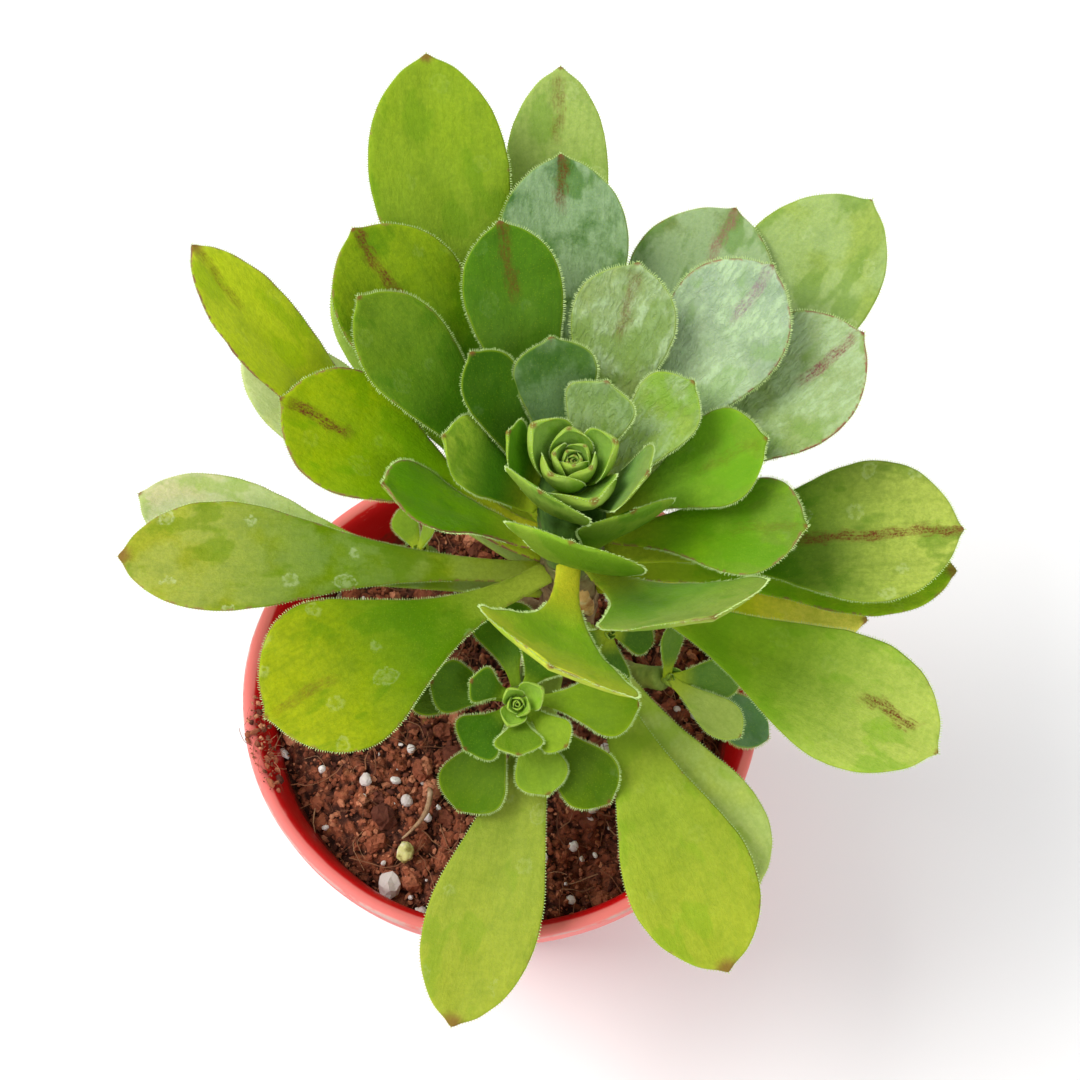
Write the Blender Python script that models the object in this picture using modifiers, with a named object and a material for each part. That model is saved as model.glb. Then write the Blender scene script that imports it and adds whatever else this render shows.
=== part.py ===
"""A tree aeonium in a small nursery pot: pot, soil, one branching stem, and every leaf as its own solid.

The plant is one main rosette on a short stem, with an open young rosette and three small shoots low
on the same stem. Leaves are lofted from a formula and placed by the tables below: heading, height on
the stem, how steeply they rise, how long and how wide they are.
Axes: +Z up, the pot stands on Z = 0 with its axis on the origin, and -Y is the side seen in front.
Lengths are millimetres in this file and become metres where a mesh or curve is made.
"""

import math
from collections import namedtuple

import bmesh
import bpy
from mathutils import Matrix, Vector, noise

MM = 0.001
GAP = 0.3

# --- Pot -------------------------------------------------------------------------------------------
POT_HEIGHT = 80.0
RIM_RADIUS = 51.5
LIP_DEPTH = 6.0
LIP_TAPER = 0.5
LIP_OVERHANG = 2.4
WALL = 1.4
FLOOR = 1.8
BASE_RADIUS = 31.5
RIM_ROUNDING = 0.6
POT_STEPS = 64
HOLE_COUNT = 6
HOLE_RADIUS = 3.0
HOLE_CIRCLE = 22.0

# --- Soil ------------------------------------------------------------------------------------------
SOIL_LEVEL = 68.0
SOIL_BUMP = 2.2
SOIL_BUMP_SIZE = 9.0
SOIL_RINGS = 9
SOIL_SECTORS = 40
HOLLOW = (17.0, -31.0)
HOLLOW_DEPTH = 7.0
HOLLOW_REACH = 12.0
BANK = (-46.0, -8.0)
BANK_HEIGHT = 6.5
BANK_REACH = 14.0

# --- Stem ------------------------------------------------------------------------------------------
STEM_FOOT = Vector((11.0, 9.0, 48.0))
STEM_CROWN = Vector((13.2, 15.0, 138.0))
STEM_BOW = 1.0
STEM_RADIUS = 5.4
CROWN_RADIUS = 6.4
CROWN_LENGTH = 26.0
STEM_SECTIONS = 14
DOME_LATITUDES = (25, 50, 70, 82)
POCKET_TOP = 98.0
TUBE_RESOLUTION = 2

# --- Leaves ----------------------------------------------------------------------------------------
STATIONS = (0.0, 0.10, 0.22, 0.35, 0.47, 0.58, 0.68, 0.77, 0.85, 0.91, 0.96, 0.985)
UPPER_SIDE = (-1.0, -0.5, 0.0, 0.5, 1.0)
UNDER_SIDE = (0.5, 0.0, -0.5)
ROOT_BEND = 0.16
BELLY = 0.76
TIP_BLUNTNESS = 0.62
WALK_STEPS = 6
THINNING = 0.45
SMALLEST_HALF_WIDTH = 0.02
FULL_THICKNESS_HALF_WIDTH = 1.1

Leaf = namedtuple(
    "Leaf",
    "name heading level rise tip_rise length width roll swing cup root thick neck",
    defaults=(0.0, 0.0, 14.0, 4.6, 2.0, 1.1),
)

# Heading is in degrees from +X towards +Y, level in mm above the ground, rise and tip_rise in degrees
# above the horizon near the stem and at the tip. roll lifts the blade's left side, swing bends it
# sideways, cup is half the angle of its hollow section, and a larger neck gives a longer stalk.
INNER_LEAVES = (
    Leaf("inner_leaf_1", 66, 135.0, 54, 58, 14.5, 13, root=5.6, thick=1.4, neck=0.5),
    Leaf("inner_leaf_2", -25, 135.0, 58, 64, 15, 14, root=6.5, thick=1.4, neck=0.5),
    Leaf("inner_leaf_3", -117, 134.8, 62, 80, 18, 17, roll=-8, root=8.5, thick=1.4, neck=0.4),
    Leaf("inner_leaf_4", 163, 133.5, 66, 76, 14, 9.5, root=5.6, thick=1.4, neck=0.5),
    Leaf("inner_leaf_5", 100, 131.0, 52, 48, 23, 15, root=6.0, thick=1.6, neck=0.6),
    Leaf("inner_leaf_6", -44, 126.0, 58, 84, 19.5, 18, roll=-24, root=9.0, thick=1.6, neck=0.5),
    Leaf("inner_leaf_7", 135, 129.0, 55, 50, 28, 12, root=5.4, thick=1.6, neck=0.6),
    Leaf("inner_leaf_8", 35, 129.0, 48, 42, 25, 14, root=5.6, thick=1.6, neck=0.6),
    Leaf("inner_leaf_9", 170, 127.5, 50, 52, 24, 14, root=5.6, thick=1.6, neck=0.6),
    Leaf("inner_leaf_10", -92, 124.0, 50, 86, 27, 25, roll=-18, root=9.5, thick=1.6, neck=0.6),
)
MIDDLE_LEAVES = (
    Leaf("middle_leaf_1", 72, 125.0, 48, 42, 41, 19, neck=0.8),
    Leaf("middle_leaf_2", 10, 123.0, 40, 34, 33, 19, neck=0.9),
    Leaf("middle_leaf_3", 110, 123.0, 48, 44, 50, 18, swing=-6, neck=0.9),
    Leaf("middle_leaf_4", -13, 121.0, 30, 26, 38, 20, neck=0.9),
    Leaf("middle_leaf_5", 143, 120.0, 44, 40, 52, 18, neck=0.9),
    Leaf("middle_leaf_6", 45, 120.0, 42, 38, 54, 24, neck=0.9),
    Leaf("middle_leaf_7", 178, 116.0, 36, 38, 33, 18, roll=24, neck=0.9),
    Leaf("middle_leaf_8", -96, 116.5, 24, 68, 49, 30, roll=-24, neck=1.0),
    Leaf("middle_leaf_9", -56, 117.0, 38, 60, 48, 30, roll=-14, neck=1.0),
)
OUTER_LEAVES = (
    Leaf("outer_leaf_1", 26, 116.0, 36, 32, 59, 26),
    Leaf("outer_leaf_2", 132, 115.5, 40, 36, 64, 26),
    Leaf("outer_leaf_3", 92, 116.0, 40, 36, 65, 24),
    Leaf("outer_leaf_4", 162, 114.0, 30, 27, 54, 25),
    Leaf("outer_leaf_5", -3, 112.0, 18, 12, 65, 29),
    Leaf("outer_leaf_6", -34, 110.0, 14, 6, 70, 26, swing=-2),
    Leaf("outer_leaf_7", -148, 109.0, 14, -2, 58, 31),
    Leaf("outer_leaf_8", 61, 112.0, 34, 30, 65, 28),
    Leaf("outer_leaf_9", 44, 110.0, 34, 30, 80, 28),
    Leaf("outer_leaf_10", 120, 112.0, 36, 32, 91, 26, swing=-24),
    Leaf("outer_leaf_11", 159, 108.0, 26, 36, 86, 21, roll=30, swing=-24),
)
LOWEST_LEAVES = (
    Leaf("lower_leaf_1", 95, 106.0, 32, 30, 90, 20, swing=-8),
    Leaf("lower_leaf_2", -179, 104.5, 11, 4, 78, 23),
    Leaf("lower_leaf_3", 152, 101.5, 24, 22, 70, 20, swing=-5),
    Leaf("lower_leaf_4", 178, 98.0, 10, 6, 79, 20, swing=-18),
    Leaf("lower_leaf_5", 133, 104.5, 34, 30, 66, 19),
    Leaf("lower_leaf_6", -4, 106.0, 10, 6, 65, 20),
    Leaf("lower_leaf_7", -11, 102.0, 8, 2, 50, 16),
    Leaf("lower_leaf_8", -103, 91.0, -1, -6, 77, 21, swing=-4),
    Leaf("lower_leaf_9", -69, 92.5, 4, -4, 71, 24),
    Leaf("lower_leaf_10", -58, 90.0, -1, -6, 59, 19),
)

# --- Colours, linear RGB ---------------------------------------------------------------------------
POT_RED = (0.62, 0.03, 0.03)
PEAT_BROWN = (0.12, 0.035, 0.022)
BARK_TAN = (0.35, 0.20, 0.08)
HEART_GREEN = (0.20, 0.42, 0.07)
YOUNG_GREEN = (0.10, 0.26, 0.05)
LEAF_ROUGHNESS = 0.5
LEAF_GROUPS = (
    (INNER_LEAVES, (0.12, 0.28, 0.05)),
    (MIDDLE_LEAVES, (0.15, 0.32, 0.05)),
    (OUTER_LEAVES, (0.26, 0.42, 0.05)),
    (LOWEST_LEAVES, (0.36, 0.46, 0.08)),
)

# --- Young shoots ----------------------------------------------------------------------------------
# A shoot grows along an axis from base, leaning lean degrees towards lean_heading. Its leaves' headings
# and levels are measured in its own frame, whose Z is that axis. route is how its stalk leaves the stem.
Shoot = namedtuple("Shoot", "name base lean lean_heading route")
BRANCH_RADIUS = 2.3
STRAIGHT_END = 7.0
SMALL_LEAF = {"root": 2.0, "thick": 1.2, "neck": 0.8, "cup": 16.0}
SHOOT_LEAF_START = 0.4
SHOOT_LEAF_HEIGHT = 1.3
YOUNG_STATIONS = (0.0, 0.16, 0.34, 0.52, 0.68, 0.81, 0.91, 0.975)
SHOOT_STATIONS = (0.0, 0.2, 0.42, 0.62, 0.78, 0.9, 0.97)

# Buds are turned from radius and height pairs.
BUD_STEPS = 14
HEART_BUD = ((0.0, 0.0), (3.0, 0.0), (5.0, 2.2), (6.0, 5.0), (5.6, 8.0), (3.0, 9.2), (0.0, 9.6))
YOUNG_BUD = ((0.0, 0.0), (1.7, 0.0), (2.5, 1.6), (2.2, 3.4), (1.0, 4.6), (0.0, 4.8))
SHOOT_BUD = ((0.0, 0.0), (1.5, 0.0), (1.9, 1.2), (1.2, 2.8), (0.0, 3.4))

YOUNG_ROSETTE = Shoot(
    "young_rosette",
    Vector((3.5, -13.8, 105.0)),
    26,
    -95,
    ((12.5, 9.5, 96.0), (9.5, 2.0, 96.5), (5.0, -7.5, 97.0)),
)
YOUNG_LEAVES = (
    Leaf("young_leaf_1", -88, -0.6, 42, 46, 9, 9),
    Leaf("young_leaf_2", 155, -0.8, 42, 36, 8, 7),
    Leaf("young_leaf_3", -42, -1.6, 36, 34, 11, 7),
    Leaf("young_leaf_4", 58, -1.8, 34, 26, 11, 10),
    Leaf("young_leaf_5", -138, -2.4, 26, 20, 11, 10),
    Leaf("young_leaf_6", -2, -3.0, 22, 14, 20, 12),
    Leaf("young_leaf_7", 168, -3.4, 20, 14, 14, 10),
    Leaf("young_leaf_8", -73, -4.0, 14, 8, 15.5, 10),
    Leaf("young_leaf_9", -119, -4.8, 8, 2, 20.5, 13),
    Leaf("young_leaf_10", 103, -5.0, -10, -16, 16, 12),
    Leaf("young_leaf_11", -49, -5.8, 10, 6, 22.5, 12),
    Leaf("young_leaf_12", 172, -6.0, 6, 2, 19, 11),
)

SMALL_SHOOTS = (
    (
        Shoot("right_shoot", Vector((31.0, -3.0, 90.0)), 45, -30, ((12.5, 9.0, 80.0), (19.0, 4.5, 82.0))),
        (
            Leaf("light", -46, 0.5, 46, 40, 17, 9),
            Leaf("dark", 10, 0.2, 34, 30, 14, 8),
            Leaf("bluish", -24, -0.4, 26, 22, 23, 10),
            Leaf("small", 110, -0.1, 20, 20, 11, 6),
        ),
    ),
    (
        Shoot("left_shoot", Vector((-15.5, 22.5, 92.0)), 30, 170, ((11.5, 11.0, 84.0), (0.0, 18.0, 84.0))),
        (
            Leaf("front", -150, 0.2, 20, 10, 11, 5),
            Leaf("left", 175, -0.3, 10, 4, 13, 6),
            Leaf("back", 110, 0.0, 20, 10, 10, 6),
            Leaf("right", 20, 0.5, 40, 30, 9, 5),
        ),
    ),
    (
        Shoot("stem_shoot", Vector((19.6, 2.2, 102.0)), 50, -50, ()),
        (
            Leaf("left", -150, -0.2, 16, 8, 11, 8),
            Leaf("front", -80, -0.5, 10, 0, 13, 9),
            Leaf("right", -10, 0.1, 14, 4, 9, 6),
            Leaf("upper", 60, 0.3, 30, 30, 9, 4),
            Leaf("pointed", 120, 0.6, 40, 40, 8, 4),
        ),
    ),
)


def clear_scene():
    for obj in list(bpy.data.objects):
        bpy.data.objects.remove(obj)


def new_collection(name):
    collection = bpy.data.collections.new(name)
    bpy.context.scene.collection.children.link(collection)
    return collection


def material(name, colour, roughness):
    """A plain Principled material, colour in linear RGB."""
    made = bpy.data.materials.new(name)
    made.use_nodes = True
    shader = made.node_tree.nodes["Principled BSDF"]
    shader.inputs["Base Color"].default_value = (*colour, 1.0)
    shader.inputs["Roughness"].default_value = roughness
    made.diffuse_color = (*colour, 1.0)
    return made


def add_object(name, mesh, surface, collection):
    obj = bpy.data.objects.new(name, mesh)
    collection.objects.link(obj)
    if surface:
        mesh.materials.append(surface)
    return obj


def mesh_from(name, points, faces):
    """A mesh from points in mm, its faces turned outwards."""
    shape = bmesh.new()
    corners = [shape.verts.new(Vector(point) * MM) for point in points]
    for face in faces:
        shape.faces.new([corners[index] for index in face])
    bmesh.ops.recalc_face_normals(shape, faces=shape.faces)
    mesh = bpy.data.meshes.new(name)
    shape.to_mesh(mesh)
    shape.free()
    return mesh


def evaluated_mesh(obj, name):
    """The object as the viewport shows it, as a welded mesh of its own."""
    graph = bpy.context.evaluated_depsgraph_get()
    mesh = bpy.data.meshes.new_from_object(obj.evaluated_get(graph))
    mesh.name = name
    shape = bmesh.new()
    shape.from_mesh(mesh)
    bmesh.ops.remove_doubles(shape, verts=shape.verts, dist=0.01 * MM)
    bmesh.ops.recalc_face_normals(shape, faces=shape.faces)
    shape.to_mesh(mesh)
    shape.free()
    return mesh


def boolean(target, other, operation):
    modifier = target.modifiers.new(operation.title() + " " + other.name, "BOOLEAN")
    modifier.operation = operation
    modifier.solver = "EXACT"
    modifier.object = other


def hide_as_cutter(obj):
    obj.hide_render = True
    obj.display_type = "WIRE"


# --- Pot -------------------------------------------------------------------------------------------
def inner_wall_radius(height):
    """Radius of the pot's inner wall at a height above the floor."""
    bottom = BASE_RADIUS - WALL
    top = RIM_RADIUS - LIP_OVERHANG - WALL
    return bottom + (top - bottom) * height / POT_HEIGHT


def pot_profile():
    """Half section from the floor's middle, up the inner wall, over the lip and down the outer wall."""
    top_inside = inner_wall_radius(POT_HEIGHT)
    under_lip = POT_HEIGHT - LIP_DEPTH
    return (
        (0.0, FLOOR),
        (inner_wall_radius(FLOOR), FLOOR),
        (top_inside, POT_HEIGHT - RIM_ROUNDING),
        (top_inside + RIM_ROUNDING, POT_HEIGHT),
        (RIM_RADIUS - RIM_ROUNDING, POT_HEIGHT),
        (RIM_RADIUS, POT_HEIGHT - RIM_ROUNDING),
        (RIM_RADIUS - LIP_TAPER, under_lip),
        (inner_wall_radius(under_lip) + WALL, under_lip),
        (BASE_RADIUS + RIM_ROUNDING * 0.5, RIM_ROUNDING),
        (BASE_RADIUS - RIM_ROUNDING * 0.5, 0.0),
        (0.0, 0.0),
    )


def make_pot(parts, cutters, surface):
    mesh = bpy.data.meshes.new("pot")
    points = [(radius * MM, 0.0, height * MM) for radius, height in pot_profile()]
    edges = [(index, index + 1) for index in range(len(points) - 1)]
    mesh.from_pydata(points, edges, [])
    pot = add_object("pot", mesh, surface, parts)
    turn = pot.modifiers.new("Turn", "SCREW")
    turn.steps = POT_STEPS
    turn.render_steps = POT_STEPS
    turn.use_merge_vertices = True
    turn.merge_threshold = 0.0001
    turn.use_normal_calculate = True
    holes = drain_hole_cutter(cutters)
    boolean(pot, holes, "DIFFERENCE")
    return pot


def drain_hole_cutter(cutters):
    shape = bmesh.new()
    for index in range(HOLE_COUNT):
        angle = math.tau * (index + 0.5) / HOLE_COUNT
        place = Vector((HOLE_CIRCLE * math.cos(angle), HOLE_CIRCLE * math.sin(angle), FLOOR / 2))
        bmesh.ops.create_cone(
            shape,
            cap_ends=True,
            segments=14,
            radius1=HOLE_RADIUS * MM,
            radius2=HOLE_RADIUS * MM,
            depth=FLOOR * 3 * MM,
            matrix=Matrix.Translation(place * MM),
        )
    mesh = bpy.data.meshes.new("drain_hole_cutter")
    shape.to_mesh(mesh)
    shape.free()
    cutter = add_object("drain_hole_cutter", mesh, None, cutters)
    hide_as_cutter(cutter)
    return cutter


# --- Soil ------------------------------------------------------------------------------------------
def mound(x, y, centre, reach):
    distance = math.hypot(x - centre[0], y - centre[1]) / reach
    return math.exp(-distance * distance)


def soil_height(x, y):
    bumps = noise.noise(Vector((x / SOIL_BUMP_SIZE, y / SOIL_BUMP_SIZE, 0.0)))
    height = SOIL_LEVEL + SOIL_BUMP * bumps
    height -= HOLLOW_DEPTH * mound(x, y, HOLLOW, HOLLOW_REACH)
    height += BANK_HEIGHT * mound(x, y, BANK, BANK_REACH)
    return height


def make_soil(parts, cutters, surface):
    """A lumpy plug that fills the pot up to SOIL_LEVEL, with a pocket where the stem goes in."""
    edge = inner_wall_radius(SOIL_LEVEL) - 2 * GAP
    bottom = FLOOR + GAP
    bottom_radius = inner_wall_radius(bottom) - 2 * GAP
    points = [(0.0, 0.0, soil_height(0.0, 0.0))]
    for ring in range(1, SOIL_RINGS + 1):
        for sector in range(SOIL_SECTORS):
            angle = math.tau * sector / SOIL_SECTORS
            radius = edge * ring / SOIL_RINGS
            height = soil_height(radius * math.cos(angle), radius * math.sin(angle))
            radius = min(radius, inner_wall_radius(height) - 2 * GAP)
            points.append((radius * math.cos(angle), radius * math.sin(angle), height))
    for sector in range(SOIL_SECTORS):
        angle = math.tau * sector / SOIL_SECTORS
        points.append((bottom_radius * math.cos(angle), bottom_radius * math.sin(angle), bottom))
    faces = fan_and_bands(SOIL_RINGS + 1, SOIL_SECTORS)
    last = 1 + SOIL_RINGS * SOIL_SECTORS
    faces.append(tuple(range(last, last + SOIL_SECTORS)))
    soil = add_object("soil", mesh_from("soil", points, faces), surface, parts)
    pocket = stalk_mesh("stem_pocket_cutter", *stem_path(STEM_FOOT.z - GAP, POCKET_TOP), GAP)
    cutter = add_object("stem_pocket_cutter", pocket, None, cutters)
    hide_as_cutter(cutter)
    boolean(soil, cutter, "DIFFERENCE")
    return soil


def fan_and_bands(rings, sectors):
    """Faces of a disc whose point 0 is its middle, followed by rings of points."""
    faces = []
    for sector in range(sectors):
        after = (sector + 1) % sectors
        faces.append((0, 1 + sector, 1 + after))
        for ring in range(rings - 1):
            start = 1 + ring * sectors
            faces.append(
                (start + sector, start + sectors + sector, start + sectors + after, start + after)
            )
    return faces


# --- Stem and branches -----------------------------------------------------------------------------
def stem_axis(height):
    """A point on the stem's middle line."""
    along = (height - STEM_FOOT.z) / (STEM_CROWN.z - STEM_FOOT.z)
    point = STEM_FOOT.lerp(STEM_CROWN, along)
    point.x += STEM_BOW * math.sin(math.pi * along)
    return point


def stem_radius(height):
    """Radius at a height: an even stem, a wider crown, and a round top."""
    below_top = STEM_CROWN.z - height
    widening = max(0.0, 1.0 - below_top / CROWN_LENGTH)
    radius = STEM_RADIUS + (CROWN_RADIUS - STEM_RADIUS) * math.sqrt(widening)
    if below_top < CROWN_RADIUS:
        radius *= math.sqrt(max(0.0, 1.0 - (1.0 - below_top / CROWN_RADIUS) ** 2))
    return radius


def stem_path(bottom, top):
    """Points and radii of the stem's middle line between two heights, with its dome if top is that high."""
    dome_bottom = STEM_CROWN.z - CROWN_RADIUS
    side_top = min(top, dome_bottom)
    heights = [bottom + (side_top - bottom) * index / STEM_SECTIONS for index in range(STEM_SECTIONS + 1)]
    if top > dome_bottom:
        for latitude in DOME_LATITUDES:
            heights.append(dome_bottom + CROWN_RADIUS * math.sin(math.radians(latitude)))
    points = [stem_axis(height) for height in heights]
    return points, [stem_radius(height) for height in heights]


def stalk_mesh(name, points, radii, extra=0.0):
    """A closed tube through points, as a mesh."""
    curve = bpy.data.curves.new(name, "CURVE")
    curve.dimensions = "3D"
    curve.bevel_depth = MM
    curve.bevel_resolution = TUBE_RESOLUTION
    curve.use_fill_caps = True
    spline = curve.splines.new("POLY")
    spline.points.add(len(points) - 1)
    for control, point, radius in zip(spline.points, points, radii):
        control.co = (*(point * MM), 1.0)
        control.radius = radius + extra
    tube = bpy.data.objects.new(name, curve)
    bpy.context.scene.collection.objects.link(tube)
    mesh = evaluated_mesh(tube, name)
    bpy.data.objects.remove(tube)
    return mesh


# --- Leaves ----------------------------------------------------------------------------------------
def ease(amount):
    amount = min(1.0, max(0.0, amount))
    return amount * amount * (3.0 - 2.0 * amount)


def belly_curve(along, neck):
    """0 at the root and the tip, 1 at BELLY."""
    if not 0.0 < along < 1.0:
        return 0.0
    wave = math.sin(math.pi * along ** (math.log(0.5) / math.log(BELLY)))
    return wave ** (neck if along < BELLY else TIP_BLUNTNESS)


def half_width(leaf, along):
    belly = belly_curve(along, leaf.neck)
    neck = 0.5 * leaf.root * (1.0 - belly) * (1.0 - along**4)
    return neck + 0.5 * leaf.width * belly


def leaf_frame(leaf, along, root_pitch):
    """Directions along the leaf, to its left and up from its upper side, at a fraction of its length."""
    heading = math.radians(leaf.heading + leaf.swing * ease(along))
    rise = leaf.rise + (leaf.tip_rise - leaf.rise) * along
    pitch = math.radians(root_pitch + (rise - root_pitch) * ease(along / ROOT_BEND))
    roll = math.radians(leaf.roll * ease(along * 2.0))
    forward = Vector(
        (math.cos(pitch) * math.cos(heading), math.cos(pitch) * math.sin(heading), math.sin(pitch))
    )
    left = Vector((-math.sin(heading), math.cos(heading), 0.0))
    left = Matrix.Rotation(roll, 3, forward) @ left
    return forward, left, forward.cross(left)


def leaf_ring(leaf, along, centre, left, up):
    """Eight points around the blade: five over its upper side and three under it."""
    half = max(SMALLEST_HALF_WIDTH, half_width(leaf, along))
    cup = math.radians(leaf.cup)
    thickness = leaf.thick * (1.0 - THINNING * along) * min(1.0, half / FULL_THICKNESS_HALF_WIDTH)
    points = []
    for side, places in ((0.5, UPPER_SIDE), (-0.5, UNDER_SIDE)):
        for across in places:
            sideways = half / cup * math.sin(cup * across)
            lift = half / cup * (1.0 - math.cos(cup * across)) + side * thickness * (1.0 - across * across)
            points.append(centre + left * sideways + up * lift)
    return points


def leaf_mesh(leaf, root, root_pitch, stations):
    """A closed leaf that starts at root, a point in mm just off the stem."""
    centre = Vector(root)
    points = []
    previous = 0.0
    for along in stations + (1.0,):
        for step in range(WALK_STEPS if along else 0):
            middle = previous + (along - previous) * (step + 0.5) / WALK_STEPS
            forward = leaf_frame(leaf, middle, root_pitch)[0]
            centre += forward * leaf.length * (along - previous) / WALK_STEPS
        previous = along
        if along < 1.0:
            points += leaf_ring(leaf, along, centre, *leaf_frame(leaf, along, root_pitch)[1:])
    points.append(centre)
    around = len(UPPER_SIDE) + len(UNDER_SIDE)
    faces = [tuple(range(around))]
    for ring in range(len(stations) - 1):
        for place in range(around):
            after = (place + 1) % around
            start = ring * around
            faces.append(
                (start + place, start + after, start + around + after, start + around + place)
            )
    last = (len(stations) - 1) * around
    for place in range(around):
        faces.append((last + place, last + (place + 1) % around, len(points) - 1))
    mesh = mesh_from(leaf.name, points, faces)
    mesh.shade_smooth()
    return mesh


def place_on_stem(leaf):
    """Where a leaf leaves the main stem, and the stem's own pitch there."""
    below_top = STEM_CROWN.z - leaf.level
    pitch = 0.0
    if below_top < CROWN_RADIUS:
        pitch = math.asin(1.0 - below_top / CROWN_RADIUS)
    heading = math.radians(leaf.heading)
    outward = Vector((math.cos(heading), math.sin(heading), 0.0))
    normal = outward * math.cos(pitch) + Vector((0.0, 0.0, math.sin(pitch)))
    surface = stem_axis(leaf.level) + outward * stem_radius(leaf.level)
    return surface + normal * GAP, math.degrees(pitch)


def make_leaf(leaf, parts, surface):
    root, pitch = place_on_stem(leaf)
    return add_object(leaf.name, leaf_mesh(leaf, root, pitch, STATIONS), surface, parts)


# --- Young shoots ----------------------------------------------------------------------------------
def shoot_frame(shoot):
    """The shoot's own axes: origin at its base, Z along its axis."""
    heading = math.radians(shoot.lean_heading)
    lean_axis = Vector((-math.sin(heading), math.cos(heading), 0.0))
    turn = Matrix.Rotation(math.radians(shoot.lean), 4, lean_axis)
    return Matrix.Translation(shoot.base * MM) @ turn


def around_axis(heading, radius, height):
    """A point in a shoot's frame, by its heading in degrees."""
    angle = math.radians(heading)
    return Vector((radius * math.cos(angle), radius * math.sin(angle), height))


def bud_mesh(name, profile):
    """A turned bud that stands on the origin, from radius and height pairs."""
    shape = bmesh.new()
    points = [shape.verts.new((radius * MM, 0.0, height * MM)) for radius, height in profile]
    edges = [shape.edges.new(pair) for pair in zip(points, points[1:])]
    bmesh.ops.spin(
        shape,
        geom=points + edges,
        axis=(0.0, 0.0, 1.0),
        cent=(0.0, 0.0, 0.0),
        angle=math.tau,
        steps=BUD_STEPS,
        use_merge=True,
    )
    bmesh.ops.remove_doubles(shape, verts=shape.verts, dist=0.01 * MM)
    bmesh.ops.recalc_face_normals(shape, faces=shape.faces)
    mesh = bpy.data.meshes.new(name)
    shape.to_mesh(mesh)
    shape.free()
    mesh.shade_smooth()
    return mesh


def shoot_stalk(shoot, cutters):
    """The branch from inside the main stem to the shoot's base, ending straight along its axis."""
    axis = shoot_frame(shoot).to_3x3() @ Vector((0.0, 0.0, 1.0))
    points = [Vector(point) for point in shoot.route]
    points.append(shoot.base - axis * STRAIGHT_END)
    points.append(shoot.base)
    mesh = stalk_mesh(shoot.name + "_stalk", points, [BRANCH_RADIUS] * len(points))
    stalk = add_object(shoot.name + "_stalk", mesh, None, cutters)
    hide_as_cutter(stalk)
    return stalk


def make_young_rosette(parts):
    frame = shoot_frame(YOUNG_ROSETTE)
    for leaf in YOUNG_LEAVES:
        small = leaf._replace(**SMALL_LEAF)
        root = around_axis(small.heading, BRANCH_RADIUS + GAP, small.level)
        mesh = leaf_mesh(small, root, 0.0, YOUNG_STATIONS)
        green = material(leaf.name + "_green", YOUNG_GREEN, LEAF_ROUGHNESS)
        add_object(small.name, mesh, green, parts).matrix_world = frame
    pale = material("young_heart_green", HEART_GREEN, LEAF_ROUGHNESS)
    bud = add_object("young_heart", bud_mesh("young_heart", YOUNG_BUD), pale, parts)
    bud.matrix_world = frame @ Matrix.Translation((0.0, 0.0, GAP * MM))


def make_small_shoot(shoot, leaves, parts, cutters):
    """One young shoot whose few leaves still grow out of a single bud, as one solid."""
    frame = shoot_frame(shoot) @ Matrix.Translation((0.0, 0.0, GAP * MM))
    green = material(shoot.name + "_green", YOUNG_GREEN, LEAF_ROUGHNESS)
    bud = add_object(shoot.name, bud_mesh(shoot.name, SHOOT_BUD), green, parts)
    bud.matrix_world = frame
    for leaf in leaves:
        small = leaf._replace(name=shoot.name + "_" + leaf.name, **SMALL_LEAF)
        root = around_axis(small.heading, SHOOT_LEAF_START, SHOOT_LEAF_HEIGHT + small.level)
        mesh = leaf_mesh(small, root, small.rise, SHOOT_STATIONS)
        blade = add_object(small.name, mesh, None, cutters)
        blade.matrix_world = frame
        hide_as_cutter(blade)
        boolean(bud, blade, "UNION")
    return bud


def make_stem(parts, cutters, surface):
    mesh = stalk_mesh("stem", *stem_path(STEM_FOOT.z, STEM_CROWN.z))
    stem = add_object("stem", mesh, surface, parts)
    for shoot in (YOUNG_ROSETTE, SMALL_SHOOTS[0][0], SMALL_SHOOTS[1][0]):
        boolean(stem, shoot_stalk(shoot, cutters), "UNION")
    return stem


def make_heart(parts, surface):
    heart = add_object("rosette_heart", bud_mesh("rosette_heart", HEART_BUD), surface, parts)
    heart.location = (STEM_CROWN + Vector((0.0, 0.0, GAP))) * MM
    return heart


def main():
    clear_scene()
    parts = new_collection("potted_tree_aeonium")
    cutters = new_collection("cutters")
    make_pot(parts, cutters, material("pot_plastic", POT_RED, 0.35))
    make_soil(parts, cutters, material("soil_peat", PEAT_BROWN, 0.95))
    make_stem(parts, cutters, material("stem_bark", BARK_TAN, 0.7))
    make_heart(parts, material("heart_green", HEART_GREEN, LEAF_ROUGHNESS))
    for leaves, green in LEAF_GROUPS:
        for leaf in leaves:
            make_leaf(leaf, parts, material(leaf.name + "_green", green, LEAF_ROUGHNESS))
    make_young_rosette(parts)
    for shoot, leaves in SMALL_SHOOTS:
        make_small_shoot(shoot, leaves, parts, cutters)


main()
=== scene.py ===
# %% [markdown]
# # A tree aeonium in a nursery pot
# A tree aeonium carries its leaves in rosettes at the ends of bare stems. This one is young: one wide
# rosette on a short stem, an open young rosette in front of it, three small side shoots, and peaty soil
# in a thin red pot. The solids give every leaf its place and its outline. This script gives them what
# solids leave out: soft rounded blades, hairs along their margins, veins and stains, crumbs and fibres.

# %% Load the frame
import math

import bmesh
import bpy
import numpy as np
from mathutils import Matrix, Vector, noise


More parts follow.
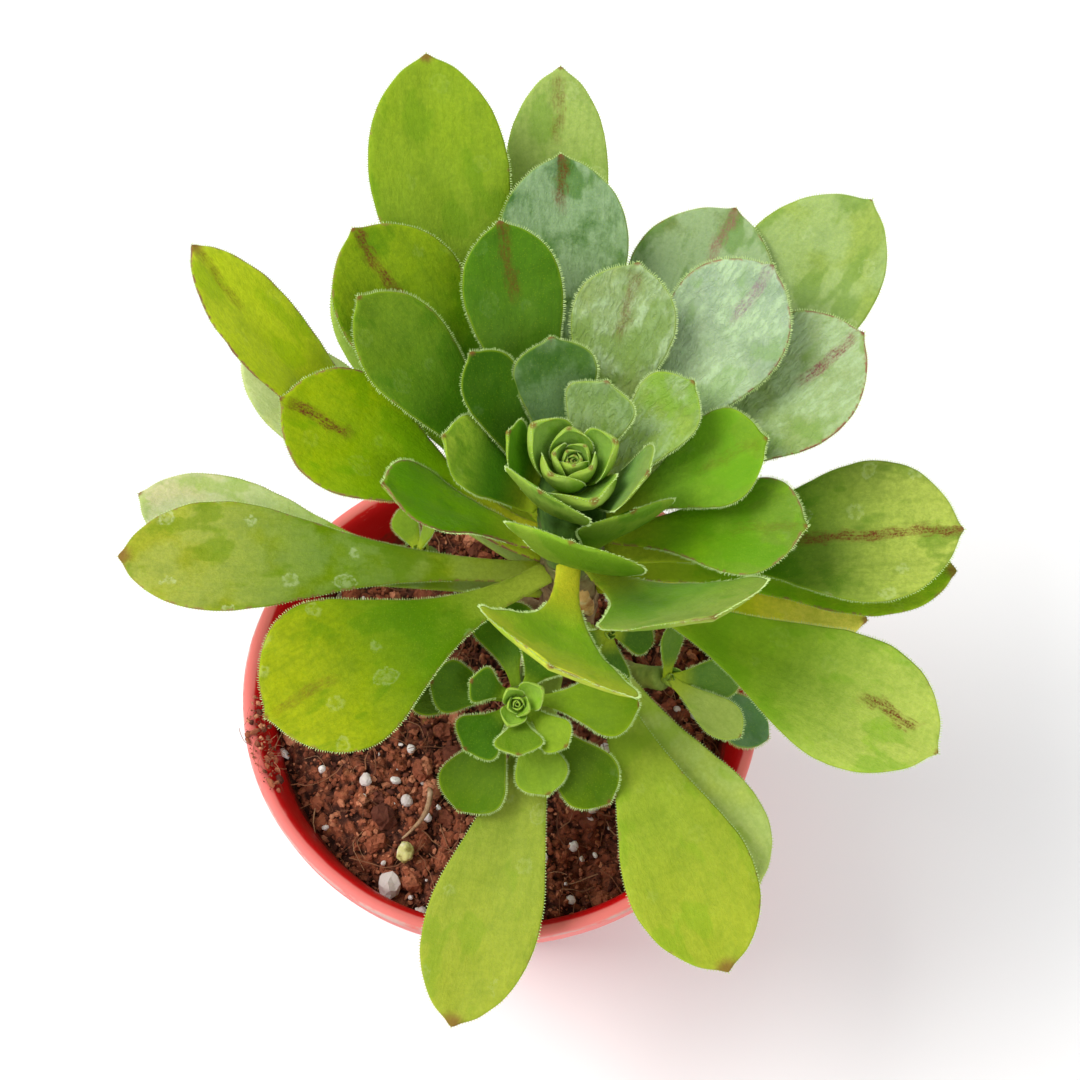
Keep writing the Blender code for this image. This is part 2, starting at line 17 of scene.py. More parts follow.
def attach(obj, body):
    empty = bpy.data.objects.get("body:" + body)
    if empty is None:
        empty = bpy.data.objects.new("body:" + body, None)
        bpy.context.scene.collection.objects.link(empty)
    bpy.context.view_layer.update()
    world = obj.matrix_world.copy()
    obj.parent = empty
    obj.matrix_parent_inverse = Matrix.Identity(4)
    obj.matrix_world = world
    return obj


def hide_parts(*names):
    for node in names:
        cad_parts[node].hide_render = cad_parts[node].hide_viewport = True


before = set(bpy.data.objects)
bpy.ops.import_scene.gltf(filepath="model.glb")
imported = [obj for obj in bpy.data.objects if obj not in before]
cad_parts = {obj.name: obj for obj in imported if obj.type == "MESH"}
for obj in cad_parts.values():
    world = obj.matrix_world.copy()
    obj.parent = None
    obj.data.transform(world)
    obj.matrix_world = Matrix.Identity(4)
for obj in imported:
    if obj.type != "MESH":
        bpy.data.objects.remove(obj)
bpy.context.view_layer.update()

MM = 0.001
BODY = "root"
print("solids:", len(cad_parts))

# %% [markdown]
# ## Camera and light
# The plant is looked down on from the front, so the rosette shows its spiral and the pot shows its
# mouth. Daylight from a wide window on the left is one large area lamp; a pale world fills the shadows,
# and a smaller lamp from the right front keeps the far sides of the leaves from going flat.

# %% Camera
CAMERA_PLACE = (0.0075, -0.1355, 0.4015)
CAMERA_PITCH = 62.45
FIELD_OF_VIEW = 34.3
scene = bpy.context.scene
camera_data = bpy.data.cameras.new("camera")
camera_data.sensor_width = 36.0
camera_data.lens = 18.0 / math.tan(math.radians(FIELD_OF_VIEW / 2))
camera_data.clip_start = 0.01
camera = bpy.data.objects.new("camera", camera_data)
camera.location = CAMERA_PLACE
camera.rotation_euler = (math.radians(90.0 - CAMERA_PITCH), 0.0, 0.0)
scene.collection.objects.link(camera)
scene.camera = camera
scene.view_settings.view_transform = "Standard"
print("lens:", round(camera_data.lens, 1), "mm")

# %% Lamps and world
LAMPS = {
    "window": {"place": (-0.72, 0.10, 1.05), "size": 0.75, "watts": 14.0, "tint": (1.0, 0.98, 0.95)},
    "front_fill": {"place": (0.55, -0.80, 0.80), "size": 0.60, "watts": 3.5, "tint": (1.0, 1.0, 1.0)},
}
WORLD_STRENGTH = 0.70
AIM = Vector((0.0, 0.0, 0.10))


def add_lamp(name, place, size, watts, tint):
    data = bpy.data.lights.new(name, "AREA")
    data.size = size
    data.energy = watts
    data.color = tint
    lamp = bpy.data.objects.new(name, data)
    lamp.location = place
    lamp.rotation_euler = (AIM - Vector(place)).to_track_quat("-Z", "Y").to_euler()
    scene.collection.objects.link(lamp)


for name, settings in LAMPS.items():
    add_lamp(name, **settings)
world = bpy.data.worlds.new("pale_room")
world.use_nodes = True
world.node_tree.nodes["Background"].inputs["Color"].default_value = (0.96, 0.98, 1.0, 1.0)
world.node_tree.nodes["Background"].inputs["Strength"].default_value = WORLD_STRENGTH
scene.world = world
print("lamps:", ", ".join(LAMPS))

# %% [markdown]
# ## Shader and geometry sums as plain expressions
# A finish is mostly arithmetic on masks: how near is the margin, how far is the tip, times a little
# noise. Drawn as nodes that is hard to read. Signal wraps one socket, so that a * b or 1 - mask adds the
# Math node by itself, and Sheet.node adds any other node. Both serve Geometry Nodes trees as well.

# %% Signal and Sheet
# An Attribute node gives a colour, a vector and a number, in this order.
VECTOR, NUMBER = 1, 2


class Signal:
    """A number, colour or vector that a node gives. Arithmetic on a number adds Math nodes."""

    def __init__(self, sheet, socket):
        self.sheet = sheet
        self.socket = socket

    def math(self, operation, *others):
        sockets = dict(enumerate((self, *others)))
        return self.sheet.node("ShaderNodeMath", {"operation": operation}, sockets)

    def __add__(self, other):
        return self.math("ADD", other)

    def __mul__(self, other):
        return self.math("MULTIPLY", other)

    def __sub__(self, other):
        return self.math("SUBTRACT", other)

    def __truediv__(self, other):
        return self.math("DIVIDE", other)

    def __rsub__(self, other):
        return self.sheet.node("ShaderNodeMath", {"operation": "SUBTRACT"}, {0: other, 1: self})

    __radd__ = __add__
    __rmul__ = __mul__


class Sheet:
    """A node tree being drawn. node() adds one node: its settings first, then what feeds its sockets."""

    def __init__(self, tree):
        self.tree = tree

    def node(self, kind, settings=None, sockets=None, output=0):
        made = self.tree.nodes.new(kind)
        for name, value in (settings or {}).items():
            setattr(made, name, value)
        for key, value in (sockets or {}).items():
            self.feed(made.inputs[key], value)
        return Signal(self, made.outputs[output])

    def feed(self, socket, value):
        if isinstance(value, Signal):
            self.tree.links.new(value.socket, socket)
        else:
            socket.default_value = value

    def combine(self, x, y, z):
        return self.node("ShaderNodeCombineXYZ", None, {0: x, 1: y, 2: z})

    def split(self, vector):
        parts = self.node("ShaderNodeSeparateXYZ", None, {0: vector})
        return [Signal(self, socket) for socket in parts.socket.node.outputs]

    def mix(self, factor, first, second):
        """first where factor is 0 and second where it is 1; both are colours."""
        settings = {"data_type": "RGBA", "clamp_factor": True}
        return self.node("ShaderNodeMix", settings, {0: factor, 6: first, 7: second}, 2)

    def fade(self, value, start, end):
        """0 where value is at start, 1 where it is at end, smooth between; start may be the larger."""
        settings = {"interpolation_type": "SMOOTHSTEP"}
        if start < end:
            return self.node("ShaderNodeMapRange", settings, {0: value, 1: start, 2: end})
        return 1.0 - self.node("ShaderNodeMapRange", settings, {0: value, 1: end, 2: start})

    def cloud(self, vector, scale, detail=2.0, roughness=0.5):
        """Smooth noise from 0 to 1, whose lumps are 1 / scale of a unit of vector across."""
        sockets = {"Vector": vector, "Scale": scale, "Detail": detail, "Roughness": roughness}
        return self.node("ShaderNodeTexNoise", {"noise_dimensions": "3D"}, sockets)

    def cells(self, vector, scale, output="Distance"):
        """Scattered cells: how far their nearest centre is, or with Color a random colour for each."""
        sockets = {"Vector": vector, "Scale": scale}
        return self.node("ShaderNodeTexVoronoi", {"feature": "F1"}, sockets, output)

    def add_vectors(self, first, second):
        return self.node("ShaderNodeVectorMath", {"operation": "ADD"}, {0: first, 1: second})

    def object_place(self):
        """Object coordinates, in metres: the pieces are not moved, so these are places on the plant."""
        return self.node("ShaderNodeTexCoord", output=3)

    def attribute(self, name, output):
        return self.node("ShaderNodeAttribute", {"attribute_name": name}, output=output)


def linear(colour):
    """A colour given as 0 to 255, as the linear RGBA that shaders work in."""
    parts = [c / 255.0 for c in colour]
    parts = [c / 12.92 if c <= 0.04045 else ((c + 0.055) / 1.055) ** 2.4 for c in parts]
    return (*parts, 1.0)


def new_finish(name, **constants):
    """A material with a Principled shader, and the sheet its nodes are drawn on."""
    finish = bpy.data.materials.new(name)
    finish.use_nodes = True
    shader = finish.node_tree.nodes["Principled BSDF"]
    for socket, value in constants.items():
        shader.inputs[socket.replace("_", " ")].default_value = value
    return finish, Sheet(finish.node_tree), shader


def coat(sheet, shader, colour, roughness, strength, depth, height):
    """Ends a finish: its colour, its roughness and a relief of height that is depth metres deep."""
    sheet.feed(shader.inputs["Base Color"], colour)
    sheet.feed(shader.inputs["Roughness"], roughness)
    sockets = {"Strength": strength, "Distance": depth, "Height": height}
    sheet.feed(shader.inputs["Normal"], sheet.node("ShaderNodeBump", None, sockets))


print("linear leaf green:", [round(c, 3) for c in linear((130, 160, 50))[:3]])

# %% Growing a mesh with Geometry Nodes
class GrowingTree(Sheet):
    """A Geometry Nodes tree with named inputs. grow() runs it on a mesh and keeps the plain result.

    numbers are the labels of the inputs that are plain numbers; every tree also has Seed and Finish.
    """

    def __init__(self, name, numbers, **others):
        super().__init__(bpy.data.node_groups.new(name, "GeometryNodeTree"))
        interface = self.tree.interface
        interface.new_socket("Geometry", in_out="INPUT", socket_type="NodeSocketGeometry")
        interface.new_socket("Geometry", in_out="OUTPUT", socket_type="NodeSocketGeometry")
        self.identifiers = {}
        inputs = {**dict.fromkeys(numbers, "Float"), "Seed": "Int", "Finish": "Material", **others}
        for label, kind in inputs.items():
            socket = interface.new_socket(label, in_out="INPUT", socket_type="NodeSocket" + kind)
            self.identifiers[label] = socket.identifier
        self.entry = self.tree.nodes.new("NodeGroupInput")

    def take(self, label):
        """The value of one input."""
        return Signal(self, self.entry.outputs[label])

    def turn(self, angles):
        """A rotation from angles about x, y and z, in radians."""
        return self.node("FunctionNodeEulerToRotation", None, {0: angles})

    def plant(self, points, shape, turn, size):
        """The shape on every point, turned and sized."""
        sockets = {"Points": points, "Instance": shape, "Rotation": turn, "Scale": size}
        return self.node("GeometryNodeInstanceOnPoints", None, sockets)

    def give(self, instances, finish):
        """Ends the tree: real geometry instead of instances, in one finish."""
        real = self.node("GeometryNodeRealizeInstances", None, {"Geometry": instances})
        coated = self.node("GeometryNodeSetMaterial", None, {"Geometry": real, "Material": finish})
        end = self.tree.nodes.new("NodeGroupOutput")
        self.feed(end.inputs["Geometry"], coated)

    def grow(self, name, mesh, **values):
        """Runs the tree on a mesh, with values for its inputs, where _ stands for a space."""
        source = bpy.data.objects.new(name + "_source", mesh)
        scene.collection.objects.link(source)
        modifier = source.modifiers.new("Grow", "NODES")
        modifier.node_group = self.tree
        for label, value in values.items():
            modifier[self.identifiers[label.replace("_", " ")]] = value
        graph = bpy.context.evaluated_depsgraph_get()
        grown = bpy.data.meshes.new_from_object(source.evaluated_get(graph))
        grown.name = name
        source.modifiers.remove(modifier)
        bpy.data.objects.remove(source)
        return grown


def triangle_count(mesh):
    return sum(len(polygon.vertices) - 2 for polygon in mesh.polygons)


def keep_piece(name, mesh, slot, nodes=()):
    """A finished piece: in the scene, on the body, with the solids it stands for hidden; slot is not used."""
    piece = bpy.data.objects.new(name, mesh)
    scene.collection.objects.link(piece)
    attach(piece, BODY)
    if nodes:
        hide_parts(*nodes)
    return piece

# %% [markdown]
# ## Leaf blades
# Each solid leaf is a loft: rings of eight points from the foot to a single tip point. The fine blade is
# lofted through the same rings, so it keeps the leaf's place and outline, but its middle surface and its
# thickness are interpolated apart. Then the margin can be round, as a fleshy leaf's is, instead of sharp,
# and a shallow channel, a slight waviness and a small point at the tip can be added on top.

# %% Read the rings of a solid leaf
def ring_walk(layer):
    """The points of one layer in order round the leaf."""
    members = set(layer)

    def neighbours(corner):
        for edge in corner.link_edges:
            other = edge.other_vert(corner)
            on_side = any(not members.issuperset(face.verts) for face in edge.link_faces)
            if other in members and on_side:
                yield other

    walk = [min(layer, key=lambda corner: corner.index)]
    while len(walk) < len(layer):
        walk.append(next(other for other in neighbours(walk[-1]) if other not in walk))
    return np.array([corner.co for corner in walk]) / MM


def solid_rings(node):
    """Rings from the foot to the tip, and the tip point, in mm."""
    shape = bmesh.new()
    shape.from_mesh(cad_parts[node].data)
    bmesh.ops.remove_doubles(shape, verts=shape.verts, dist=0.002 * MM)
    shape.verts.index_update()
    tip = max(shape.verts, key=lambda corner: len(corner.link_edges))
    seen, layer, rings = {tip}, [tip], []
    while True:
        found = {edge.other_vert(corner) for corner in layer for edge in corner.link_edges}
        layer = sorted(found - seen, key=lambda corner: corner.index)
        if not layer:
            break
        seen.update(layer)
        rings.append(ring_walk(layer))
    tip_point = np.array(tip.co) / MM
    shape.free()
    return turn_rings(rings[::-1], tip_point), tip_point


def turn_rings(rings, tip_point):
    """Every ring turned to run right margin, upper side, left margin, under side."""
    widest = max(range(len(rings)), key=lambda index: np.ptp(rings[index], axis=0).sum())
    up = None
    turned = {}
    for index in sorted(range(len(rings)), key=lambda index: abs(index - widest)):
        ring = rings[index]
        ahead = rings[index + 1].mean(axis=0) if index + 1 < len(rings) else tip_point
        centred = ring - ring.mean(axis=0)
        area = np.cross(centred, np.roll(centred, -1, axis=0)).sum(axis=0)
        if area @ (ahead - ring.mean(axis=0)) > 0:
            ring = ring[::-1]
        start = max(range(4), key=lambda k: np.linalg.norm(ring[k] - ring[k + 4]))
        ring = np.roll(ring, -start, axis=0)
        if up is None:
            up = (ring[0] + ring[4]) / 2 - np.delete(ring, (0, 4), axis=0).mean(axis=0)
        if (ring[1:4].mean(axis=0) - ring[5:8].mean(axis=0)) @ up < 0:
            ring = np.roll(ring, 4, axis=0)
        turned[index] = ring
    return np.array([turned[index] for index in range(len(rings))])


test_rings = solid_rings("outer_leaf_5")[0]
widest = max(float(np.ptp(ring, axis=0).max()) for ring in test_rings)
print("outer_leaf_5:", len(test_rings), "rings, at most", round(widest, 1), "mm across")

# %% Loft a fine blade through the rings
# Every length is in mm. A blade has HALF_AROUND points across each face, closer together at the margins.
ROWS_PER_RING = 4
HALF_AROUND = 13
MARGIN_ROUNDNESS = 2.6
# The channel's half width as a share of the blade's, and the half width at which it has its full depth.
CHANNEL_WIDTH = 0.22
FULL_CHANNEL_AT = 6.0
# How far the foot reaches into the stem.
ROOT_REACH = 1.2
# Swells of the face and of the outline, and the size of the small point at the tip.
FACE_SWELL = 0.10
OUTLINE_SWELL = 0.10
POINT_WIDTH = 0.9
POINT_REACH = 1.1


def spline_rows(rows, after, per_row):
    """A Catmull-Rom spline through rows of points, which would go on to the row called after."""
    padded = np.concatenate([[2 * rows[0] - rows[1]], rows, [after]])
    out = []
    for i in range(len(rows) - 1):
        a, b, c, d = padded[i : i + 4]
        for t in np.arange(per_row) / per_row:
            bend = (2 * a - 5 * b + 4 * c - d) * t**2
            out.append(0.5 * (2 * b + (c - a) * t + bend + (3 * b - a - 3 * c + d) * t**3))
    out.append(rows[-1])
    return np.array(out)


def across_weights(places):
    """Weights that carry five samples at -1, -0.5, 0, 0.5 and 1 to any place across the blade."""
    knots = np.linspace(-1.0, 1.0, 5)
    weights = np.ones((len(places), 5))
    for i in range(5):
        for j in range(5):
            if i != j:
                weights[:, i] *= (places - knots[j]) / (knots[i] - knots[j])
    return weights


def wave(x, y, z=0.0):
    """Smooth noise between about -0.7 and 0.7 that is the same on every run."""
    return noise.noise(Vector((x, y, z)))


def unit_rows(vectors):
    """Each row scaled to length 1."""
    return vectors / np.linalg.norm(vectors, axis=1)[:, None]


def tube_faces(rings, around, first=0):
    """Faces between rings of points; each ring has around points, and the first is number first."""
    faces = []
    for start in range(first, first + (rings - 1) * around, around):
        for k in range(around):
            after = (k + 1) % around
            faces.append((start + k, start + around + k, start + around + after, start + after))
    return faces


class Blade:
    """A fine leaf as arrays: points, faces and what its finish reads, with its two margins.

    channel is how deep the middle line is pressed in, ripple how far the margins wave up and down, and
    mucro how long the point at the tip is.
    """

    def __init__(self, rings, tip_point, seed, channel, ripple, mucro, rows_per_ring=ROWS_PER_RING):
        upper = rings[:, [0, 1, 2, 3, 4]]
        under = rings[:, [0, 7, 6, 5, 4]]
        tip_row = np.repeat(tip_point[None, None], 5, axis=1)
        middle = np.concatenate([(upper + under) / 2, tip_row])
        half_thick = np.concatenate([(upper - under) / 2, 0 * tip_row])
        middle = spline_rows(middle, middle[-2][::-1], rows_per_ring)
        half_thick = spline_rows(half_thick[:, 2:3], -half_thick[-2][2:3], rows_per_ring)[:, 0]
        self.places = np.sin(np.linspace(-math.pi / 2, math.pi / 2, HALF_AROUND))
        surface = np.einsum("pk,rkx->rpx", across_weights(self.places), middle)
        self.shape_rows(surface, half_thick, seed, channel, ripple, mucro)

    def shape_rows(self, surface, half_thick, seed, channel, ripple, mucro):
        """Waves the middle surface row by row and gives it its thickness, its channel and its point."""
        steps = np.linalg.norm(np.diff(surface[:, HALF_AROUND // 2], axis=0), axis=1)
        run = np.concatenate([[0.0], np.cumsum(steps)])
        self.length = run[-1]
        half_width = np.linalg.norm(surface[:, -1] - surface[:, 0], axis=1) / 2
        side = surface[:, -1] - surface[:, 0]
        side[-1] = side[-2]
        side = unit_rows(side)
        forward = unit_rows(np.gradient(surface[:, HALF_AROUND // 2], axis=0))
        up = unit_rows(np.cross(forward, side))
        places = self.places
        thick = np.linalg.norm(half_thick, axis=1)
        profile = np.sqrt(np.clip(1.0 - np.abs(places) ** MARGIN_ROUNDNESS, 0.0, 1.0))
        blade_part = np.clip((run / self.length - 0.25) / 0.3, 0.0, 1.0)
        for row, at in enumerate(run):
            for k, place in enumerate(places):
                way = np.sign(place)
                lift = wave(at / 6.0, place * 1.5 + seed * 7.3, seed) * FACE_SWELL
                lift += wave(at / 4.0, seed * 3.1 + way * 5.0) * ripple * abs(place) ** 3
                surface[row, k] += up[row] * lift * blade_part[row]
                spread = wave(at / 2.5, seed * 5.7 - way * 9.0) * OUTLINE_SWELL * abs(place) ** 6
                surface[row, k] += side[row] * way * spread * blade_part[row]
            beside = (half_width[row] * places / POINT_WIDTH) ** 2
            before = ((self.length - at) / POINT_REACH) ** 2
            surface[row] += forward[row] * (mucro * np.exp(-beside) * np.exp(-before))[:, None]
        groove = channel * np.exp(-((places / CHANNEL_WIDTH) ** 2))[None] * blade_part[:, None]
        groove *= np.minimum(1.0, half_width / FULL_CHANNEL_AT)[:, None]
        depth = thick[:, None] * profile[None]
        top = surface + up[:, None] * (depth - groove)[..., None]
        bottom = surface - up[:, None] * (depth + 0.6 * groove)[..., None]
        self.build(surface, top, bottom, run, half_width, side, up, forward)

    def build(self, surface, top, bottom, run, half_width, side, up, forward):
        """Closes both faces into one skin, from foot point to tip point, and notes the finish's data."""
        places, under = self.places, self.places[-2:0:-1]
        rows = len(surface) - 1
        around = 2 * HALF_AROUND - 2
        points = np.concatenate([top, bottom[:, -2:0:-1]], axis=1)[:rows].reshape(-1, 3)
        self.faces = tube_faces(rows, around)
        last = (rows - 1) * around
        for k in range(around):
            after = (k + 1) % around
            self.faces.append((last + k, len(points), last + after))
            self.faces.append((after, len(points) + 1, k))
        tip = surface[-1].mean(axis=0)
        foot = points[:around].mean(axis=0) - forward[0] * ROOT_REACH
        self.points = np.concatenate([points, [tip], [foot]])
        self.margins = [surface[:, 0], surface[:, -1]]
        self.sides = [-side, side]
        self.up = up
        outline = np.concatenate(self.margins)
        edge = np.linalg.norm(self.points[:, None] - outline[None], axis=2).min(axis=1)
        tip_gap = np.linalg.norm(self.points - tip, axis=1)
        across = half_width[:rows, None] * np.concatenate([places, under])[None]
        across = np.append(across, (0.0, 0.0))
        along = np.append(np.repeat(run[:rows], around), (self.length, 0.0))
        facing = np.concatenate([np.sqrt(1 - places**2), -np.sqrt(1 - under**2)])
        facing = np.append(np.tile(facing, rows), (0.0, 0.0))
        self.coords = np.stack([across, along, facing], axis=1)
        self.rim = np.stack([edge, tip_gap, along / self.length], axis=1)


def blade_mesh(name, blades, finish):
    """One mesh from blades, which keeps for the finish where on its blade each point is, in mm."""
    points = np.concatenate([blade.points for blade in blades])
    faces, start = [], 0
    for blade in blades:
        faces += [tuple(start + i for i in face) for face in blade.faces]
        start += len(blade.points)
    mesh = bpy.data.meshes.new(name)
    mesh.from_pydata((points * MM).tolist(), [], faces)
    for attribute, values in (("blade", "coords"), ("rim", "rim")):
        data = np.concatenate([getattr(blade, values) for blade in blades]).astype(np.float32)
        mesh.attributes.new(attribute, "FLOAT_VECTOR", "POINT").data.foreach_set("vector", data.ravel())
    mesh.shade_smooth()
    mesh.materials.append(finish)
    mesh.update()
    return mesh

# %% [markdown]
# ## Leaf finish
# A living leaf is never one green. The stalk is pale where the light doesn't reach, the blade is
# mottled and finely streaked, the margin is a pale line that sun and cold turn red, and old leaves carry
# brown strokes along the middle line near the tip. The finish reads two attributes of the mesh: blade
# holds the millimetres across and along the leaf, and rim holds the distance to the margin and the tip.
# One function draws it for every leaf, and a table says how far each leaf has gone that way.

# %% How each leaf looks
# Colours are 0 to 255, shares 0 to 1 and lengths mm.
LEAF_LOOK = {
    "stalk": (165, 180, 36),
    "under": (168, 188, 72),
    # The chalky film over the green: partly real bloom, partly a painted sheen of reflected sky.
    "bloom": 0.01,
    # The brown stroke down the middle: how strong, its colour, its ends from the tip, how far to one side.
    "stroke": 0.0,
    "stroke_tone": (100, 50, 24),
    "stroke_at": (2.0, 14.0),
    "stroke_off": 0.0,
    # How much of the margin is red, how pale the rest is, and how far the red point reaches.
    "red_rim": 0.15,
    "pale_rim": 0.6,
    "tip_mark": 1.1,
    # Rings that dried drops left, and creases in an ageing leaf.
    "stains": 0.1,
    "wrinkles": 0.1,
}


def look(body, end, **changes):
    """The common leaf look with this body colour, end colour and other changes."""
    return {**LEAF_LOOK, "body": body, "end": end, **changes}


def tender_look(body, end, **changes):
    """The look of a leaf so young that nearly all of its margin is still pale."""
    return look(body, end, pale_rim=0.9, **changes)


LOOKS = {
    "inner_leaf_1": tender_look((115, 140, 60), (110, 140, 55), bloom=0.35, wrinkles=0.7),
    "inner_leaf_2": tender_look((90, 135, 30), (120, 145, 50), bloom=0.2),
    "inner_leaf_3": tender_look((55, 108, 6), (105, 155, 55)),
    # Painted light: inner_leaf_4's body is made lighter, for a leaf that lies in shade.
    "inner_leaf_4": tender_look((94, 158, 14), (92, 140, 24)),
    "inner_leaf_5": tender_look((60, 100, 30), (75, 110, 45), bloom=0.25),
    "inner_leaf_6": tender_look((65, 130, 4), (75, 125, 8)),
    "inner_leaf_7": tender_look((60, 100, 10), (65, 105, 6)),
    "inner_leaf_8": tender_look((150, 180, 75), (125, 150, 65), bloom=0.5, wrinkles=1.0),
    "inner_leaf_9": tender_look((80, 132, 20), (160, 188, 55)),
    "inner_leaf_10": tender_look((110, 155, 10), (110, 155, 15)),
    "middle_leaf_1": look(
        (130, 150, 80), (135, 155, 95),
        bloom=0.6, stroke=0.4, pale_rim=0.8, wrinkles=1.0,
    ),
    "middle_leaf_2": look((125, 172, 40), (112, 150, 30), stroke=0.2, red_rim=0.4, pale_rim=0.7),
    "middle_leaf_3": look((80, 115, 25), (75, 120, 10), stroke=0.5, stroke_at=(0.5, 14.0), pale_rim=0.8),
    "middle_leaf_4": look((112, 160, 15), (108, 140, 40), red_rim=0.6, stroke=0.2, pale_rim=0.5),
    "middle_leaf_5": look((75, 120, 15), (110, 140, 25), red_rim=0.3, pale_rim=0.8),
    "middle_leaf_6": look(
        (160, 180, 135), (145, 165, 140),
        bloom=0.8, stroke=0.5, wrinkles=1.0, red_rim=0.6, stroke_tone=(138, 104, 122), stroke_at=(1.0, 12.0),
    ),
    "middle_leaf_7": look((112, 160, 5), (100, 148, 5), red_rim=0.8, pale_rim=0.4),
    "middle_leaf_8": look((155, 192, 42), (205, 210, 60), red_rim=0.5, pale_rim=0.5, stalk=(200, 190, 40)),
    "middle_leaf_9": look((110, 150, 40), (140, 160, 70), red_rim=0.4, pale_rim=0.6),
    "outer_leaf_1": look(
        (138, 162, 88), (150, 168, 112),
        bloom=0.6, stroke=0.75, stains=0.5, wrinkles=0.8, red_rim=0.8, stroke_tone=(128, 84, 78),
    ),
    "outer_leaf_2": look((75, 120, 4), (130, 155, 10), stroke=0.7, red_rim=0.5, stroke_at=(1.0, 20.0)),
    "outer_leaf_3": look(
        (90, 124, 48), (60, 102, 44),
        bloom=0.6, stroke=0.6, stroke_at=(0.0, 10.0), wrinkles=0.3,
    ),
    "outer_leaf_4": look(
        (115, 155, 2), (150, 170, 4),
        stroke=0.8, red_rim=0.7, pale_rim=0.8, stalk=(200, 196, 40),
    ),
    # Painted light and shade: outer_leaf_5's dark body and pale end are its foot in shade and its tip in
    # light.
    "outer_leaf_5": look((74, 116, 2), (168, 182, 78), stroke=1.0, stroke_at=(0.0, 34.0), stains=0.5),
    "outer_leaf_6": look((128, 166, 26), (174, 188, 86), stroke=0.8, stroke_at=(6.0, 16.0), stroke_off=2.0),
    "outer_leaf_7": look(
        (90, 125, 2), (155, 165, 8),
        red_rim=0.4, stroke=0.3, stains=0.4, stalk=(170, 185, 60),
    ),
    "outer_leaf_8": look(
        (106, 144, 84), (118, 136, 74),
        bloom=0.6, stroke=0.6, red_rim=0.4, stroke_tone=(138, 92, 84), stroke_at=(0.5, 12.0),
    ),
    "outer_leaf_9": look((112, 140, 74), (150, 170, 78), bloom=0.3, stains=0.4, tip_mark=0.8),
    "outer_leaf_10": look((110, 140, 30), (135, 160, 30), tip_mark=2.4, red_rim=0.3),
    "outer_leaf_11": look((165, 185, 2), (190, 205, 35), red_rim=0.8, stroke=0.4, tip_mark=3.0),
    "lower_leaf_1": look((120, 150, 55), (155, 175, 90), stroke=0.4, stains=0.3),
    "lower_leaf_2": look((104, 132, 2), (158, 162, 45), tip_mark=3.5, stains=1.0, bloom=0.14, red_rim=0.5),
    "lower_leaf_3": look((165, 190, 70), (210, 212, 150), bloom=0.4),
    "lower_leaf_4": look((155, 180, 50), (200, 195, 150), bloom=0.4),
    "lower_leaf_5": look((145, 185, 35), (170, 195, 90), stains=0.4),
    "lower_leaf_6": look((130, 172, 18), (152, 182, 28), red_rim=0.5, tip_mark=3.0),
    # Painted light: lower_leaf_7's near-white yellow is for a leaf that lies in shade.
    "lower_leaf_7": look((238, 228, 36), (248, 230, 112), red_rim=0.4, tip_mark=2.0),
    "lower_leaf_8": look(
        (145, 160, 55), (155, 165, 50),
        tip_mark=3.5, red_rim=0.2, stains=0.3, stalk=(172, 200, 84),
    ),
    "lower_leaf_9": look((150, 170, 50), (160, 170, 45), tip_mark=3.5, red_rim=0.3, stalk=(172, 200, 88)),
    # Painted light: lower_leaf_10 is made lighter, for an upper side that lies in shade.
    "lower_leaf_10": look((172, 190, 78), (186, 200, 104), bloom=0.2),
}
YOUNG_BODIES = (
    (105, 136, 24), (70, 108, 6), (126, 154, 28), (64, 100, 2), (68, 112, 2), (108, 138, 8),
    (76, 112, 2), (124, 154, 34), (92, 124, 12), (76, 116, 2), (80, 108, 4), (78, 104, 12),
)
for number, body in enumerate(YOUNG_BODIES, 1):
    LOOKS[f"young_leaf_{number}"] = tender_look(body, body, tip_mark=0.9, bloom=0.02, stalk=(130, 160, 36))
RED = linear((118, 58, 42))
ROSE = linear((142, 92, 74))
HAIR_PALE = linear((175, 200, 36))
# Whitish green of the bloom, which also paints the sheen of reflected sky.
BLOOM_AND_SHEEN_TONE = linear((175, 200, 155))
STAIN = linear((205, 218, 175))
print("leaf looks:", len(LOOKS))

